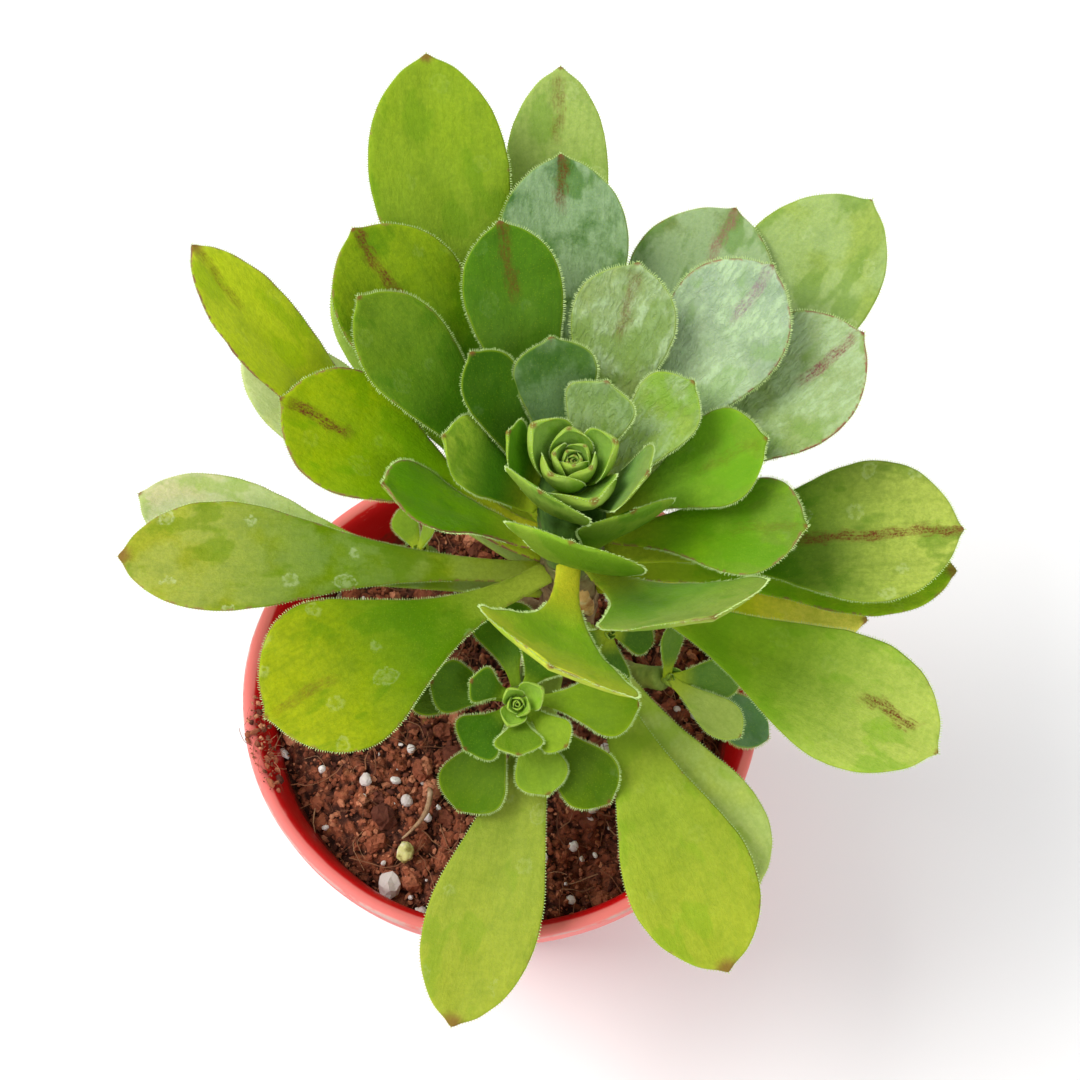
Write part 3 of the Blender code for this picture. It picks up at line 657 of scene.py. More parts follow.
# %% Draw the leaf finish
def leaf_finish(
    name, body, end, stalk, under, bloom, stroke, stroke_tone, stroke_at, stroke_off,
    red_rim, pale_rim, tip_mark, stains, wrinkles,
):
    """The finish of one leaf; LEAF_LOOK's comments say what each setting does."""
    finish, sheet, shader = new_finish(
        name, IOR=1.40, Specular_IOR_Level=0.09, Subsurface_Weight=0.10,
        Subsurface_Radius=(0.6, 1.0, 0.10), Subsurface_Scale=0.0015,
    )
    across, along, facing = sheet.split(sheet.attribute("blade", VECTOR))
    edge, to_tip, share = sheet.split(sheet.attribute("rim", VECTOR))
    flat = sheet.combine(across, along, facing * 2.0)
    streaky = sheet.combine(across, along * 0.14, facing)
    mottle = sheet.cloud(flat, 0.24, 4.0, 0.6)
    fine = sheet.cloud(flat, 1.1, 3.0, 0.6)
    veins = sheet.cloud(streaky, 0.9, 2.0)
    velvet = sheet.cloud(flat, 2.6, 3.0, 0.7)
    streaks = sheet.cloud(sheet.combine(across + (mottle - 0.5) * 3.0, along * 0.30, 3.0), 1.1, 3.0, 0.6)
    folds = sheet.fade(streaks, 0.36, 0.62)
    down = sheet.cells(flat, 2.4)

    red, green, blue, alpha = linear(body)
    deep = (0.42 * red, 0.56 * green, 0.35 * blue, alpha)
    rich = (0.62 * red, 0.84 * green, 0.35 * blue, alpha)
    light = (min(1.0, 1.30 * red + 0.01), min(1.0, 1.22 * green + 0.01), 1.3 * blue, alpha)
    # From the body colour at the foot to the end colour at the tip; on many leaves a darker body paints the
    # shade near the foot and a paler end the light on the tip.
    colour = sheet.mix(sheet.fade(share, 0.45, 0.95), linear(body), linear(end))
    colour = sheet.mix(sheet.fade(mottle, 0.42, 0.75) * 0.32, colour, deep)
    colour = sheet.mix(sheet.fade(mottle, 0.46, 0.24) * 0.45, colour, light)
    colour = sheet.mix(sheet.fade(veins, 0.45, 0.80) * 0.16, colour, deep)
    colour = sheet.mix(sheet.fade(share, 0.42, 0.08) * 0.8, colour, linear(stalk))
    grain = sheet.fade(fine * 0.6 + velvet * 0.4, 0.40, 0.62)
    colour = sheet.mix((1.0 - grain) * 0.22, colour, deep)
    colour = sheet.mix(sheet.fade(facing, 0.05, -0.25) * 0.45, colour, linear(under))
    rubbed = sheet.cloud(flat, 0.11, 2.0) + (fine - 0.5) * 0.16
    worn_off = sheet.cloud(sheet.combine(across, along * 0.6, facing + 9.0), 0.10, 4.0, 0.56)
    bare = sheet.fade(worn_off, 0.53, 0.60)
    colour = sheet.mix(bare * 0.42, colour, rich)
    patches = sheet.fade(rubbed, 0.34, 0.56) * (1.0 - bare * 0.7)
    # Painted sheen: the whitish bloom tone, strongest along the creases, is partly real bloom and partly the
    # sky's reflection painted on.
    creased = 1.0 - wrinkles * 0.55 + folds * wrinkles
    bloom_and_sheen_mask = patches * (0.30 + velvet * 0.5 + fine * 0.3) * creased * bloom
    colour = sheet.mix(bloom_and_sheen_mask, colour, BLOOM_AND_SHEEN_TONE)
    speckle = sheet.fade(down, 0.28, 0.08) * sheet.fade(facing, -0.2, 0.2)
    colour = sheet.mix(speckle * 0.20, colour, HAIR_PALE)

    crooked = sheet.combine(across + (fine - 0.5) * 2.6, along + (mottle - 0.5) * 5.0, 0.0)
    spots = sheet.cells(crooked, 0.16)
    keep = sheet.node("ShaderNodeSeparateColor", None, {0: sheet.cells(crooked, 0.16, output="Color")})
    ring = sheet.fade(spots, 0.20, 0.26) * sheet.fade(spots, 0.34, 0.28) * 0.4
    ring = ring + sheet.fade(spots, 0.25, 0.1) * 0.3
    stained = ring * sheet.fade(keep, 0.70, 0.72) * sheet.fade(fine, 0.35, 0.55)
    colour = sheet.mix(stained * stains * 0.7, colour, STAIN)

    rough_edge = edge + (fine - 0.5) * 0.3
    pale = sheet.fade(rough_edge, 0.45, 0.08) * pale_rim
    colour = sheet.mix(pale * 0.35, colour, HAIR_PALE)
    along_rim = sheet.cloud(sheet.combine(across * 0.2, along, 4.0), 0.7, 4.0, 0.65)
    red_parts = sheet.fade(along_rim, 0.62 - 0.3 * red_rim, 0.75 - 0.3 * red_rim)
    reddened = sheet.fade(edge + (fine - 0.5) * 0.9, 0.60, 0.10) * red_parts
    colour = sheet.mix(reddened * min(1.0, red_rim + 0.2), colour, ROSE)

    if stroke:
        wander = sheet.cloud(sheet.combine(0.0, along, 1.0), 0.25, 2.0) - 0.5
        off = (across - stroke_off + wander * 2.5).math("ABSOLUTE")
        near, far = stroke_at
        inside = sheet.fade(to_tip, near - 1.0, near + 1.0) * sheet.fade(to_tip, far + 2.0, far - 2.0)
        breaks = sheet.cloud(sheet.combine(across, along * 0.35, 7.0), 1.3, 3.0, 0.65)
        threads = sheet.cloud(sheet.combine(across, along * 0.12, 5.0), 2.6, 2.0)
        dots = 0.4 + 0.6 * sheet.fade(velvet, 0.42, 0.56)
        threaded = 0.5 + 0.5 * sheet.fade(threads, 0.34, 0.56)
        line = sheet.fade(off + (breaks - 0.5) * 3.6, 1.7, 0.1) * inside * dots * threaded
        colour = sheet.mix(line * min(1.0, 1.4 * stroke), colour, linear(stroke_tone))
    point = sheet.fade(to_tip + (fine - 0.5) * 1.2, tip_mark, tip_mark * 0.3)
    colour = sheet.mix(point * 0.7, colour, RED)

    height = fine * 0.25 + velvet * 0.16 + speckle * 0.12 + mottle * 0.25 + folds * (0.08 + 0.6 * wrinkles)
    coat(sheet, shader, colour, 0.40 + fine * 0.22 + speckle * 0.1, 0.5, 0.0007, height)
    return finish


# %% Make the leaves
# Each family has its depth of channel, its ripple along the margins and its point at the tip, in mm.
FAMILIES = {
    "inner_leaf": (0.30, 0.40, 0.7),
    "middle_leaf": (0.50, 0.40, 0.7),
    "outer_leaf": (0.60, 0.40, 0.7),
    "lower_leaf": (0.50, 0.40, 0.7),
    "young_leaf": (0.20, 0.12, 0.35),
}
blades = {}
for order, (node, settings) in enumerate(LOOKS.items()):
    family = node.rsplit("_", 1)[0]
    blades[node] = Blade(*solid_rings(node), float(order), *FAMILIES[family])
    mesh = blade_mesh(node + "_blade", [blades[node]], leaf_finish(node + "_skin", **settings))
    keep_piece(node + "_blade", mesh, family, [node])
print("leaves:", len(blades), "triangles in each about", triangle_count(mesh))

# %% [markdown]
# ## Rosette hearts
# New leaves leave the growing point one by one, each turned 137.5 degrees from the last, which packs
# them without gaps and draws the spiral that everyone sees in a rosette. That rule is worth a Geometry
# Nodes tree: points in a row, each turned by its index, each carrying one spoon-shaped leaf that stands
# steeper and smaller towards the middle. The same tree grows the big heart, the young rosette's heart
# and the tiny hearts of the side shoots, and a second run with the leaf's hairs grows their hairs.

# %% A leaf drawn from numbers
STATIONS = np.array([0.0, 0.13, 0.28, 0.43, 0.57, 0.69, 0.79, 0.87, 0.93, 0.975])


def drawn_rings(
    length, width, rise, tip_rise, root=2.0, thick=1.2, cup=16.0, neck=0.8, heading=0.0,
    foot=(0, 0, 0), belly_at=0.72, tip_power=0.6,
):
    """Rings and tip of a leaf that has no solid of its own; it rises out of foot in its heading.

    Angles are in degrees. The leaf is root wide at its foot and width at belly_at, a share of its length;
    neck and tip_power say how full its outline is before and after that.
    """
    heading, cup = math.radians(heading), math.radians(cup)
    side = np.array([-math.sin(heading), math.cos(heading), 0.0])
    rings, centre = [], np.array(foot, float)
    previous = 0.0
    for along in (*STATIONS, 1.0):
        pitch = math.radians(rise + (tip_rise - rise) * (along + previous) / 2)
        flat = np.array([math.cos(heading), math.sin(heading), 0.0])
        forward = flat * math.cos(pitch) + np.array([0.0, 0.0, math.sin(pitch)])
        centre = centre + forward * length * (along - previous)
        previous = along
        if along == 1.0:
            break
        up = np.cross(forward, side)
        belly = math.sin(math.pi * along ** (math.log(0.5) / math.log(belly_at))) if along else 0.0
        belly = max(belly, 0.0) ** (neck if along < belly_at else tip_power)
        half = 0.5 * root * (1.0 - belly) * (1.0 - along**4) + 0.5 * width * belly
        deep = thick * (1.0 - 0.45 * along)
        ring = []
        for sign, places in ((0.5, (-1, -0.5, 0, 0.5, 1)), (-0.5, (0.5, 0, -0.5))):
            for place in places:
                lift = half / cup * (1 - math.cos(cup * place)) + sign * deep * (1 - place * place)
                ring.append(centre + side * half / cup * math.sin(cup * place) + up * lift)
        rings.append(ring)
    return np.array(rings), centre


spoon_shape = {"root": 5.0, "thick": 2.1, "cup": 62.0, "neck": 0.5, "belly_at": 0.62, "tip_power": 0.42}
spoon_rings = drawn_rings(10.0, 10.5, 0.0, 30.0, **spoon_shape)
spoon = Blade(*spoon_rings, seed=70.0, channel=0.10, ripple=0.1, mucro=0.3, rows_per_ring=2)
print("heart leaf:", round(spoon.length, 1), "mm long")

# %% Hairs along margins
HAIR_GAP = 0.34
HAIR_LENGTH = 0.50
HAIR_WIDTH = 0.11
# How much the hairs point to the upper side, and how much each leans its own way, as shares of one.
HAIR_LIFT = 0.35
HAIR_LEAN = 0.35


def margin_mesh(name, chosen, first=0.18):
    """Both margins of each blade as chains of edges that know which way is outwards.

    The chains leave out the first share of the margin, where the stalk is bare.
    """
    points, edges, outward = [], [], []
    for blade in chosen:
        for margin, sides in zip(blade.margins, blade.sides):
            start = int(first * len(margin))
            for k in range(start, len(margin)):
                ahead = margin[min(k + 1, len(margin) - 1)] - margin[max(k - 1, 0)]
                ahead = ahead / np.linalg.norm(ahead)
                out = sides[k] - ahead * (sides[k] @ ahead)
                out = out / np.linalg.norm(out) + HAIR_LIFT * blade.up[k]
                if k > start:
                    edges.append((len(points) - 1, len(points)))
                points.append(margin[k] * MM)
                outward.append(out / np.linalg.norm(out))
    mesh = bpy.data.meshes.new(name)
    mesh.from_pydata([tuple(point) for point in points], edges, [])
    data = np.array(outward, np.float32)
    mesh.attributes.new("outward", "FLOAT_VECTOR", "POINT").data.foreach_set("vector", data.ravel())
    return mesh


def random_number(sheet, low, high, seed):
    """A number from low to high that differs from point to point."""
    return sheet.node("FunctionNodeRandomValue", {"data_type": "FLOAT"}, {2: low, 3: high, 8: seed}, 1)


def random_vector(sheet, size, seed):
    """A vector that differs from point to point, whose parts are from -size to size."""
    sockets = {0: (-size, -size, -size), 1: (size, size, size), 8: seed}
    return sheet.node("FunctionNodeRandomValue", {"data_type": "FLOAT_VECTOR"}, sockets, 0)


hair_tree = GrowingTree("margin_hairs", ("Gap", "Length", "Width"))
chain = hair_tree.node("GeometryNodeMeshToCurve", None, {"Mesh": hair_tree.take("Geometry")})
sockets = {"Curve": chain, "Length": hair_tree.take("Gap")}
spaced = hair_tree.node("GeometryNodeResampleCurve", {"mode": "LENGTH"}, sockets)
sockets = {"Vertices": 3, "Radius Top": 0.35, "Radius Bottom": 1.0, "Depth": 1.0}
cone = hair_tree.node("GeometryNodeMeshCone", {"fill_type": "NONE"}, sockets)
settings = {"data_type": "FLOAT_VECTOR"}
outward = hair_tree.node("GeometryNodeInputNamedAttribute", settings, {"Name": "outward"})
leaning = hair_tree.add_vectors(outward, random_vector(hair_tree, HAIR_LEAN, hair_tree.take("Seed")))
turn = hair_tree.node("FunctionNodeAlignRotationToVector", {"axis": "Z"}, {"Vector": leaning})
tall = hair_tree.take("Length") * random_number(hair_tree, 0.7, 1.15, 5)
size = hair_tree.combine(hair_tree.take("Width"), hair_tree.take("Width"), tall)
hair_tree.give(hair_tree.plant(spaced, cone, turn, size), hair_tree.take("Finish"))
hair_finish, hair_sheet, hair_shader = new_finish("margin_hair", Roughness=0.6)
hair_tone = hair_sheet.cloud(hair_sheet.object_place(), 900.0)
hair_colour = hair_sheet.mix(hair_tone, linear((165, 200, 105)), linear((206, 224, 156)))
hair_sheet.feed(hair_shader.inputs["Base Color"], hair_colour)


def hair_settings(length=1.0, width=1.0, gap=1.0):
    """The hair tree's settings, as shares of the full length, width and gap."""
    sizes = {"Gap": HAIR_GAP * gap, "Length": HAIR_LENGTH * length, "Width": HAIR_WIDTH * width}
    settings = {label: size * MM for label, size in sizes.items()}
    return {**settings, "Seed": 3, "Finish": hair_finish}


# Length and gap in each family: old leaves keep shorter hairs with wider gaps between them.
WORN = {
    "inner": (1.0, 1.0),
    "middle": (1.1, 1.1),
    "outer": (0.85, 1.3),
    "lower": (0.6, 1.6),
    "young": (1.0, 1.0),
}
for family, (length, gap) in WORN.items():
    margins = margin_mesh(family + "_hairs", [blades[node] for node in blades if node.startswith(family)])
    mesh = hair_tree.grow(family + "_hairs", margins, **hair_settings(length, gap=gap))
    keep_piece(family + "_hairs", mesh, family + "_leaf")
    print(family, "hairs:", triangle_count(mesh), "triangles")

# %% The golden-angle tree
GOLDEN_ANGLE = 137.5
# Above 1, the leaves soon get close to the inner size and rise, so most of the heart is small leaves.
SHRINKING = 1.7
RANGES = ("Outer rise", "Inner rise", "Outer size", "Inner size", "Outer foot", "Inner foot")
rosette_tree = GrowingTree(
    "golden_rosette", ("First angle", *RANGES, "Height"), Leaves="Int", Place="Vector", Turn="Vector"
)
take = rosette_tree.take


def between(label, share):
    """The tree's Outer input at share 0 and its Inner input at share 1."""
    return take("Outer " + label) + (take("Inner " + label) - take("Outer " + label)) * share


index = rosette_tree.node("GeometryNodeInputIndex")
even_share = index / (take("Leaves") - 1.0)
share = 1.0 - (1.0 - even_share).math("POWER", SHRINKING)
seed = take("Seed")
sway = random_number(rosette_tree, -5.0, 5.0, seed)
angle = (take("First angle") - index * GOLDEN_ANGLE + sway).math("RADIANS")
nod = random_number(rosette_tree, -3.0, 3.0, seed + 1.0)
rise = (between("rise", share) + nod).math("RADIANS")
foot = between("foot", share)
level = take("Height") * share
place = rosette_tree.combine(foot * angle.math("COSINE"), foot * angle.math("SINE"), level)
points = rosette_tree.node("GeometryNodePoints", None, {"Count": take("Leaves"), "Position": place})
turn = rosette_tree.turn(rosette_tree.combine(0.0, 0.0 - rise, angle))
size = between("size", share) * random_number(rosette_tree, 0.94, 1.06, seed + 2.0)
grown = rosette_tree.plant(points, take("Geometry"), turn, rosette_tree.combine(size, size, size))
sockets = {"Geometry": grown, "Translation": take("Place"), "Rotation": rosette_tree.turn(take("Turn"))}
rosette_tree.give(rosette_tree.node("GeometryNodeTransform", None, sockets), take("Finish"))
print("tree inputs:", ", ".join(rosette_tree.identifiers))


# %% Grow the hearts
def lean_turn(lean, toward):
    """The turn of a shoot that leans by lean towards a heading, both in degrees."""
    toward = math.radians(toward)
    axis = Vector((-math.sin(toward), math.cos(toward), 0.0))
    return Matrix.Rotation(math.radians(lean), 3, axis)


def grow_heart(name, place, lean, toward, slot, skin, nodes=(), **settings):
    """Grows the tree twice, with the spoon leaf and with that leaf's hairs, so the two fit."""
    turn = tuple(lean_turn(lean, toward).to_euler())
    common = {"Place": tuple(Vector(place) * MM), "Turn": turn, "Seed": 4, **settings}
    mesh = rosette_tree.grow(name, blade_mesh(name + "_leaf", [spoon], skin), **common, Finish=skin)
    mesh.shade_smooth()
    keep_piece(name, mesh, slot, nodes)
    margins = margin_mesh(name + "_margin", [spoon], first=0.3)
    hair_leaf = hair_tree.grow(name + "_hair_leaf", margins, **hair_settings(length=0.6, width=0.7))
    hairs = rosette_tree.grow(name + "_hairs", hair_leaf, **common, Finish=hair_finish)
    keep_piece(name + "_hairs", hairs, slot)
    return mesh


heart_look = tender_look((118, 160, 34), (128, 166, 48), stalk=(150, 182, 44), tip_mark=0.9, bloom=0.15)
heart_skin = leaf_finish("heart_skin", **heart_look)
heart = grow_heart(
    "rosette_heart_leaves", (13.2, 15.2, 134.6), 0, 0, "heart_leaf", heart_skin, ["rosette_heart"],
    Leaves=17, First_angle=-73.5, Outer_rise=40.0, Inner_rise=74.0, Outer_size=1.34, Inner_size=0.26,
    Outer_foot=2.8 * MM, Inner_foot=0.2 * MM, Height=4.6 * MM,
)
young_look = tender_look((150, 188, 46), (142, 180, 56), stalk=(216, 230, 120), tip_mark=0.4, bloom=0.1)
young_skin = leaf_finish("young_heart_skin", **young_look)
grow_heart(
    "young_heart_leaves", (3.5, -13.8, 103.6), 26, -95, "heart_leaf", young_skin, ["young_heart"],
    Leaves=11, First_angle=30.0, Outer_rise=32.0, Inner_rise=70.0, Outer_size=0.64, Inner_size=0.18,
    Outer_foot=1.0 * MM, Inner_foot=0.15 * MM, Height=1.6 * MM,
)
print("heart triangles:", triangle_count(heart))

# %% [markdown]
# ## Side shoots
# The three side shoots are too small for a solid per leaf. Here each gets its few leaves, drawn from the
# same kind of numbers as its solid, and a tiny heart from the golden-angle tree.

# %% Side shoot leaves
# Each shoot is its place in mm, its lean and heading, and its leaves. Each leaf is its heading, its level,
# its rise at the foot and at the tip, its length and width, and its green.
SIDE_SHOOTS = {
    "right_shoot": ((31.0, -3.0, 90.0), 45, -30, (
        (-46, 0.5, 46, 40, 17, 9, (172, 190, 95)),
        (10, 0.2, 34, 30, 14, 8, (95, 130, 50)),
        (-24, -0.4, 26, 22, 23, 10, (95, 130, 85)),
        (110, -0.1, 20, 20, 11, 6, (100, 135, 40)),
    )),
    "left_shoot": ((-15.5, 22.5, 92.0), 30, 170, (
        (-150, 0.2, 20, 10, 11, 5, (135, 165, 30)),
        (175, -0.3, 10, 4, 13, 6, (130, 160, 25)),
        (110, 0.0, 20, 10, 10, 6, (125, 155, 30)),
        (20, 0.5, 40, 30, 9, 5, (140, 168, 35)),
    )),
    "stem_shoot": ((19.6, 2.2, 102.0), 50, -50, (
        (-150, -0.2, 16, 8, 11, 8, (75, 110, 25)),
        (-80, -0.5, 10, 0, 13, 9, (70, 105, 22)),
        (-10, 0.1, 14, 4, 9, 6, (70, 105, 22)),
        (60, 0.3, 30, 30, 9, 4, (90, 125, 35)),
        (120, 0.6, 40, 40, 8, 4, (90, 125, 35)),
    )),
}
# The leaves start on a bud of this radius, at this height over the shoot's place.
BUD_RADIUS = 0.4
BUD_HEIGHT = 1.6
SHOOT_BLADE = {"channel": 0.12, "ripple": 0.1, "mucro": 0.35, "rows_per_ring": 3}
for shoot, (place, lean, toward, leaves) in SIDE_SHOOTS.items():
    turn = np.array(lean_turn(lean, toward))
    drawn = []
    for order, (heading, level, rise, tip_rise, length, width, green) in enumerate(leaves):
        way = math.radians(heading)
        foot = (BUD_RADIUS * math.cos(way), BUD_RADIUS * math.sin(way), BUD_HEIGHT + level)
        rings, tip_point = drawn_rings(length, width, rise, tip_rise, heading=heading, foot=foot)
        rings, tip_point = rings @ turn.T + place, tip_point @ turn.T + place
        drawn.append(Blade(rings, tip_point, 80.0 + order, **SHOOT_BLADE))
        skin = leaf_finish(f"{shoot}_skin_{order + 1}", **tender_look(green, green, tip_mark=0.8))
        mesh = blade_mesh(f"{shoot}_leaf_{order + 1}", drawn[-1:], skin)
        keep_piece(mesh.name, mesh, "young_leaf", [shoot] if order == 0 else ())
    hairs = hair_tree.grow(shoot + "_hairs", margin_mesh(shoot, drawn), **hair_settings())
    keep_piece(shoot + "_hairs", hairs, "young_leaf")
    grow_heart(
        shoot + "_heart", place, lean, toward, "young_leaf", skin,
        Leaves=5, First_angle=40.0, Outer_rise=40.0, Inner_rise=64.0, Outer_size=0.36, Inner_size=0.18,
        Outer_foot=0.5 * MM, Inner_foot=0.1 * MM, Height=1.2 * MM,
    )
print("side shoots:", ", ".join(SIDE_SHOOTS))

# %% [markdown]
# ## Stem
# The stem is woody at the foot and still green under the rosette. Every leaf that has dropped left a
# scar: a wide low oval with a raised rim. The scars follow the same golden angle as the leaves, because
# each marks where one sat. The solid stem is remeshed finely, then pushed in and out along its normals.

# %% Remesh the stem and raise its scars
STEM_VOXEL = 0.55
# The stem's axis passes through this x and y at this height, and leans by this much for each mm of height.
STEM_TOP = np.array([13.2, 15.0])
STEM_TOP_HEIGHT = 138.0
STEM_LEAN = np.array([2.2, 6.0]) / 90.0
# Scars go up the stem one by one. Points farther from the axis than its radius are on the side branches.
SCAR_COUNT = 52
FIRST_SCAR = 66.0
SCAR_STEP = 1.15
SCAR_WIDTH = 2.7
SCAR_HEIGHT = 1.0
SCAR_RISE = 0.32
STEM_RADIUS = 7.5


def solid_copy(node):
    """The solid's mesh with its corners welded, free to edit."""
    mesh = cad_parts[node].data.copy()
    shape = bmesh.new()
    shape.from_mesh(mesh)
    bmesh.ops.remove_doubles(shape, verts=shape.verts, dist=0.002 * MM)
    shape.to_mesh(mesh)
    shape.free()
    mesh.materials.clear()
    return mesh


def evaluated(name, mesh, modifiers):
    """The mesh after a list of modifiers, each a kind and its settings."""
    source = bpy.data.objects.new(name + "_source", mesh)
    scene.collection.objects.link(source)
    for kind, settings in modifiers:
        modifier = source.modifiers.new(kind.title(), kind)
        for setting, value in settings.items():
            setattr(modifier, setting, value)
    graph = bpy.context.evaluated_depsgraph_get()
    made = bpy.data.meshes.new_from_object(source.evaluated_get(graph))
    made.name = name
    source.modifiers.clear()
    bpy.data.objects.remove(source)
    return made


def mesh_arrays(mesh):
    """Points and normals of a mesh, in mm and unit length."""
    points = np.empty(len(mesh.vertices) * 3, np.float32)
    mesh.vertices.foreach_get("co", points)
    normals = np.array([tuple(vertex.normal) for vertex in mesh.vertices])
    return points.reshape(-1, 3) / MM, normals


def from_axis(points):
    """How far each point lies from the axis of the main stem, as x and y in mm."""
    return points[:, :2] - (STEM_TOP + STEM_LEAN * (points[:, 2:3] - STEM_TOP_HEIGHT))


def scar_marks(points):
    """1 on a scar's raised rim and -1 in its middle, from a point's height and its turn round the stem."""
    around = from_axis(points)
    turn = np.degrees(np.arctan2(around[:, 1], around[:, 0]))
    radius = np.linalg.norm(around, axis=1)
    marks = np.zeros(len(points))
    for number in range(SCAR_COUNT):
        level = FIRST_SCAR + number * SCAR_STEP
        off = (turn - number * GOLDEN_ANGLE + 180.0) % 360.0 - 180.0
        oval = np.hypot(np.radians(off) * radius / SCAR_WIDTH, (points[:, 2] - level) / SCAR_HEIGHT)
        rim = np.exp(-(((oval - 1.0) / 0.35) ** 2))
        marks = np.where(oval < 0.8, -0.8, np.maximum(marks, rim) * (marks >= 0) + np.minimum(marks, 0.0))
    return marks * (radius < STEM_RADIUS)


def bark_mesh():
    """The stem, remeshed and smoothed, with its scars, its grain and its lumps raised."""
    remeshing = {"mode": "VOXEL", "voxel_size": STEM_VOXEL * MM}
    smoothing = {"factor": 0.5, "iterations": 4}
    modifiers = [("REMESH", remeshing), ("SMOOTH", smoothing)]
    mesh = evaluated("stem_bark", solid_copy("stem"), modifiers)
    points, normals = mesh_arrays(mesh)
    branch = np.linalg.norm(from_axis(points), axis=1)
    marks = scar_marks(points)
    grain = np.array([wave(x * 0.9, y * 0.9, z * 0.22) for x, y, z in points])
    lumps = np.array([wave(x * 0.3, y * 0.3, z * 0.3 + 9.0) for x, y, z in points])
    points = points + normals * (0.25 + SCAR_RISE * marks + 0.22 * grain + 0.45 * lumps)[:, None]
    mesh.vertices.foreach_set("co", (points * MM).astype(np.float32).ravel())
    for attribute, values in (("scar", marks), ("branch", branch)):
        data = mesh.attributes.new(attribute, "FLOAT", "POINT").data
        data.foreach_set("value", values.astype(np.float32))
    mesh.update()
    return mesh


def bark_finish():
    """Brown bark that turns green to the top and on the side branches, pale scars, and darker towards the
    foot.
    """
    finish, sheet, shader = new_finish("stem_bark", IOR=1.45)
    place = sheet.object_place()
    x, y, z = sheet.split(place)
    scar = sheet.attribute("scar", NUMBER)
    mottle = sheet.cloud(place, 260.0, 4.0, 0.6)
    grain = sheet.cloud(sheet.combine(x, y, z * 0.2), 900.0, 3.0, 0.6)
    branch = sheet.attribute("branch", NUMBER)
    greening = sheet.fade(z + (mottle - 0.5) * 0.012, 0.100, 0.120)
    bark = sheet.mix(sheet.fade(mottle, 0.35, 0.65), linear((128, 98, 62)), linear((168, 142, 100)))
    bark = sheet.mix(sheet.fade(grain, 0.52, 0.72) * 0.7, bark, linear((84, 58, 36)))
    young = sheet.mix(sheet.fade(mottle, 0.35, 0.7), linear((52, 88, 20)), linear((82, 118, 38)))
    colour = sheet.mix(greening, bark, young)
    side = sheet.mix(sheet.fade(mottle, 0.35, 0.7), linear((92, 116, 30)), linear((136, 152, 56)))
    colour = sheet.mix(sheet.fade(branch + (mottle - 0.5) * 8.0, 11.0, 19.0), colour, side)
    colour = sheet.mix(sheet.fade(scar, -0.3, -0.75) * 0.7, colour, linear((196, 172, 128)))
    colour = sheet.mix(sheet.fade(scar, 0.3, 0.9) * 0.45, colour, linear((92, 66, 44)))
    # Darker towards the foot, just above the soil.
    darker_foot = sheet.fade(z, 0.076, 0.068)
    colour = sheet.mix(darker_foot * 0.55, colour, linear((60, 38, 24)))
    coat(sheet, shader, colour, 0.62 + grain * 0.25, 0.5, 0.0004, grain * 0.6 + mottle * 0.8)
    return finish


bark = bark_mesh()
bark.materials.append(bark_finish())
bark.shade_smooth()
keep_piece("stem_bark", bark, "stem_bark", ["stem"])
print("stem triangles:", triangle_count(bark))

# %% [markdown]
# ## Pot
# The pot is a turned shape: one half section swept round the axis. What makes it read as thin moulded
# plastic is at the edges: a lip with a rounded, slightly uneven brim, a small step under it, a foot ring,
# and drain holes with soft rims. The brim is pale pink, partly bleached by sun and partly a painted sheen;
# the wall below it is deep red.

# %% Turn the pot
POT_STEPS = 160
PLUG_STEPS = 28
HOLE_COUNT = 6
HOLE_CIRCLE = 22.0
POT_HEIGHT = 80.0
# Above this height the wall is a little uneven, most at the brim.
UNEVEN_FROM = 60.0
# The middle of the wall has this radius in mm at the floor, which grows by this share of the height.
WALL_FOOT = 30.3
WALL_SLOPE = 0.238
# Half section as radius and height, from the middle of the floor up the inside and down the outside.
POT_SECTION = (
    (0.0, 1.9), (12.0, 1.85), (26.0, 1.8), (29.2, 1.9), (30.0, 2.3), (30.4, 3.2), (32.6, 12.0), (35.0, 22.0),
    (37.4, 32.0), (39.8, 42.0), (42.2, 52.0), (44.4, 62.0), (45.8, 68.6), (46.1, 70.4), (46.5, 72.6),
    (47.0, 75.0), (47.6, 77.2), (48.3, 78.7), (49.0, 79.5), (49.6, 79.85), (50.1, 80.0), (50.6, 80.0),
    (51.0, 79.92), (51.3, 79.7), (51.45, 79.3), (51.4, 78.4), (51.25, 76.5), (51.1, 74.9), (50.95, 74.3),
    (50.6, 74.02), (49.6, 74.0), (48.7, 73.9), (48.45, 73.5), (48.3, 72.6), (46.2, 64.0), (43.8, 54.0),
    (41.4, 44.0), (39.0, 34.0), (36.6, 24.0), (34.2, 14.0), (32.5, 6.8), (31.75, 3.0), (31.5, 1.4),
    (31.3, 0.5), (30.9, 0.1), (30.4, 0.0), (28.2, 0.0), (27.8, 0.12), (27.5, 0.6), (27.0, 0.75), (12.0, 0.7),
    (0.0, 0.65),
)


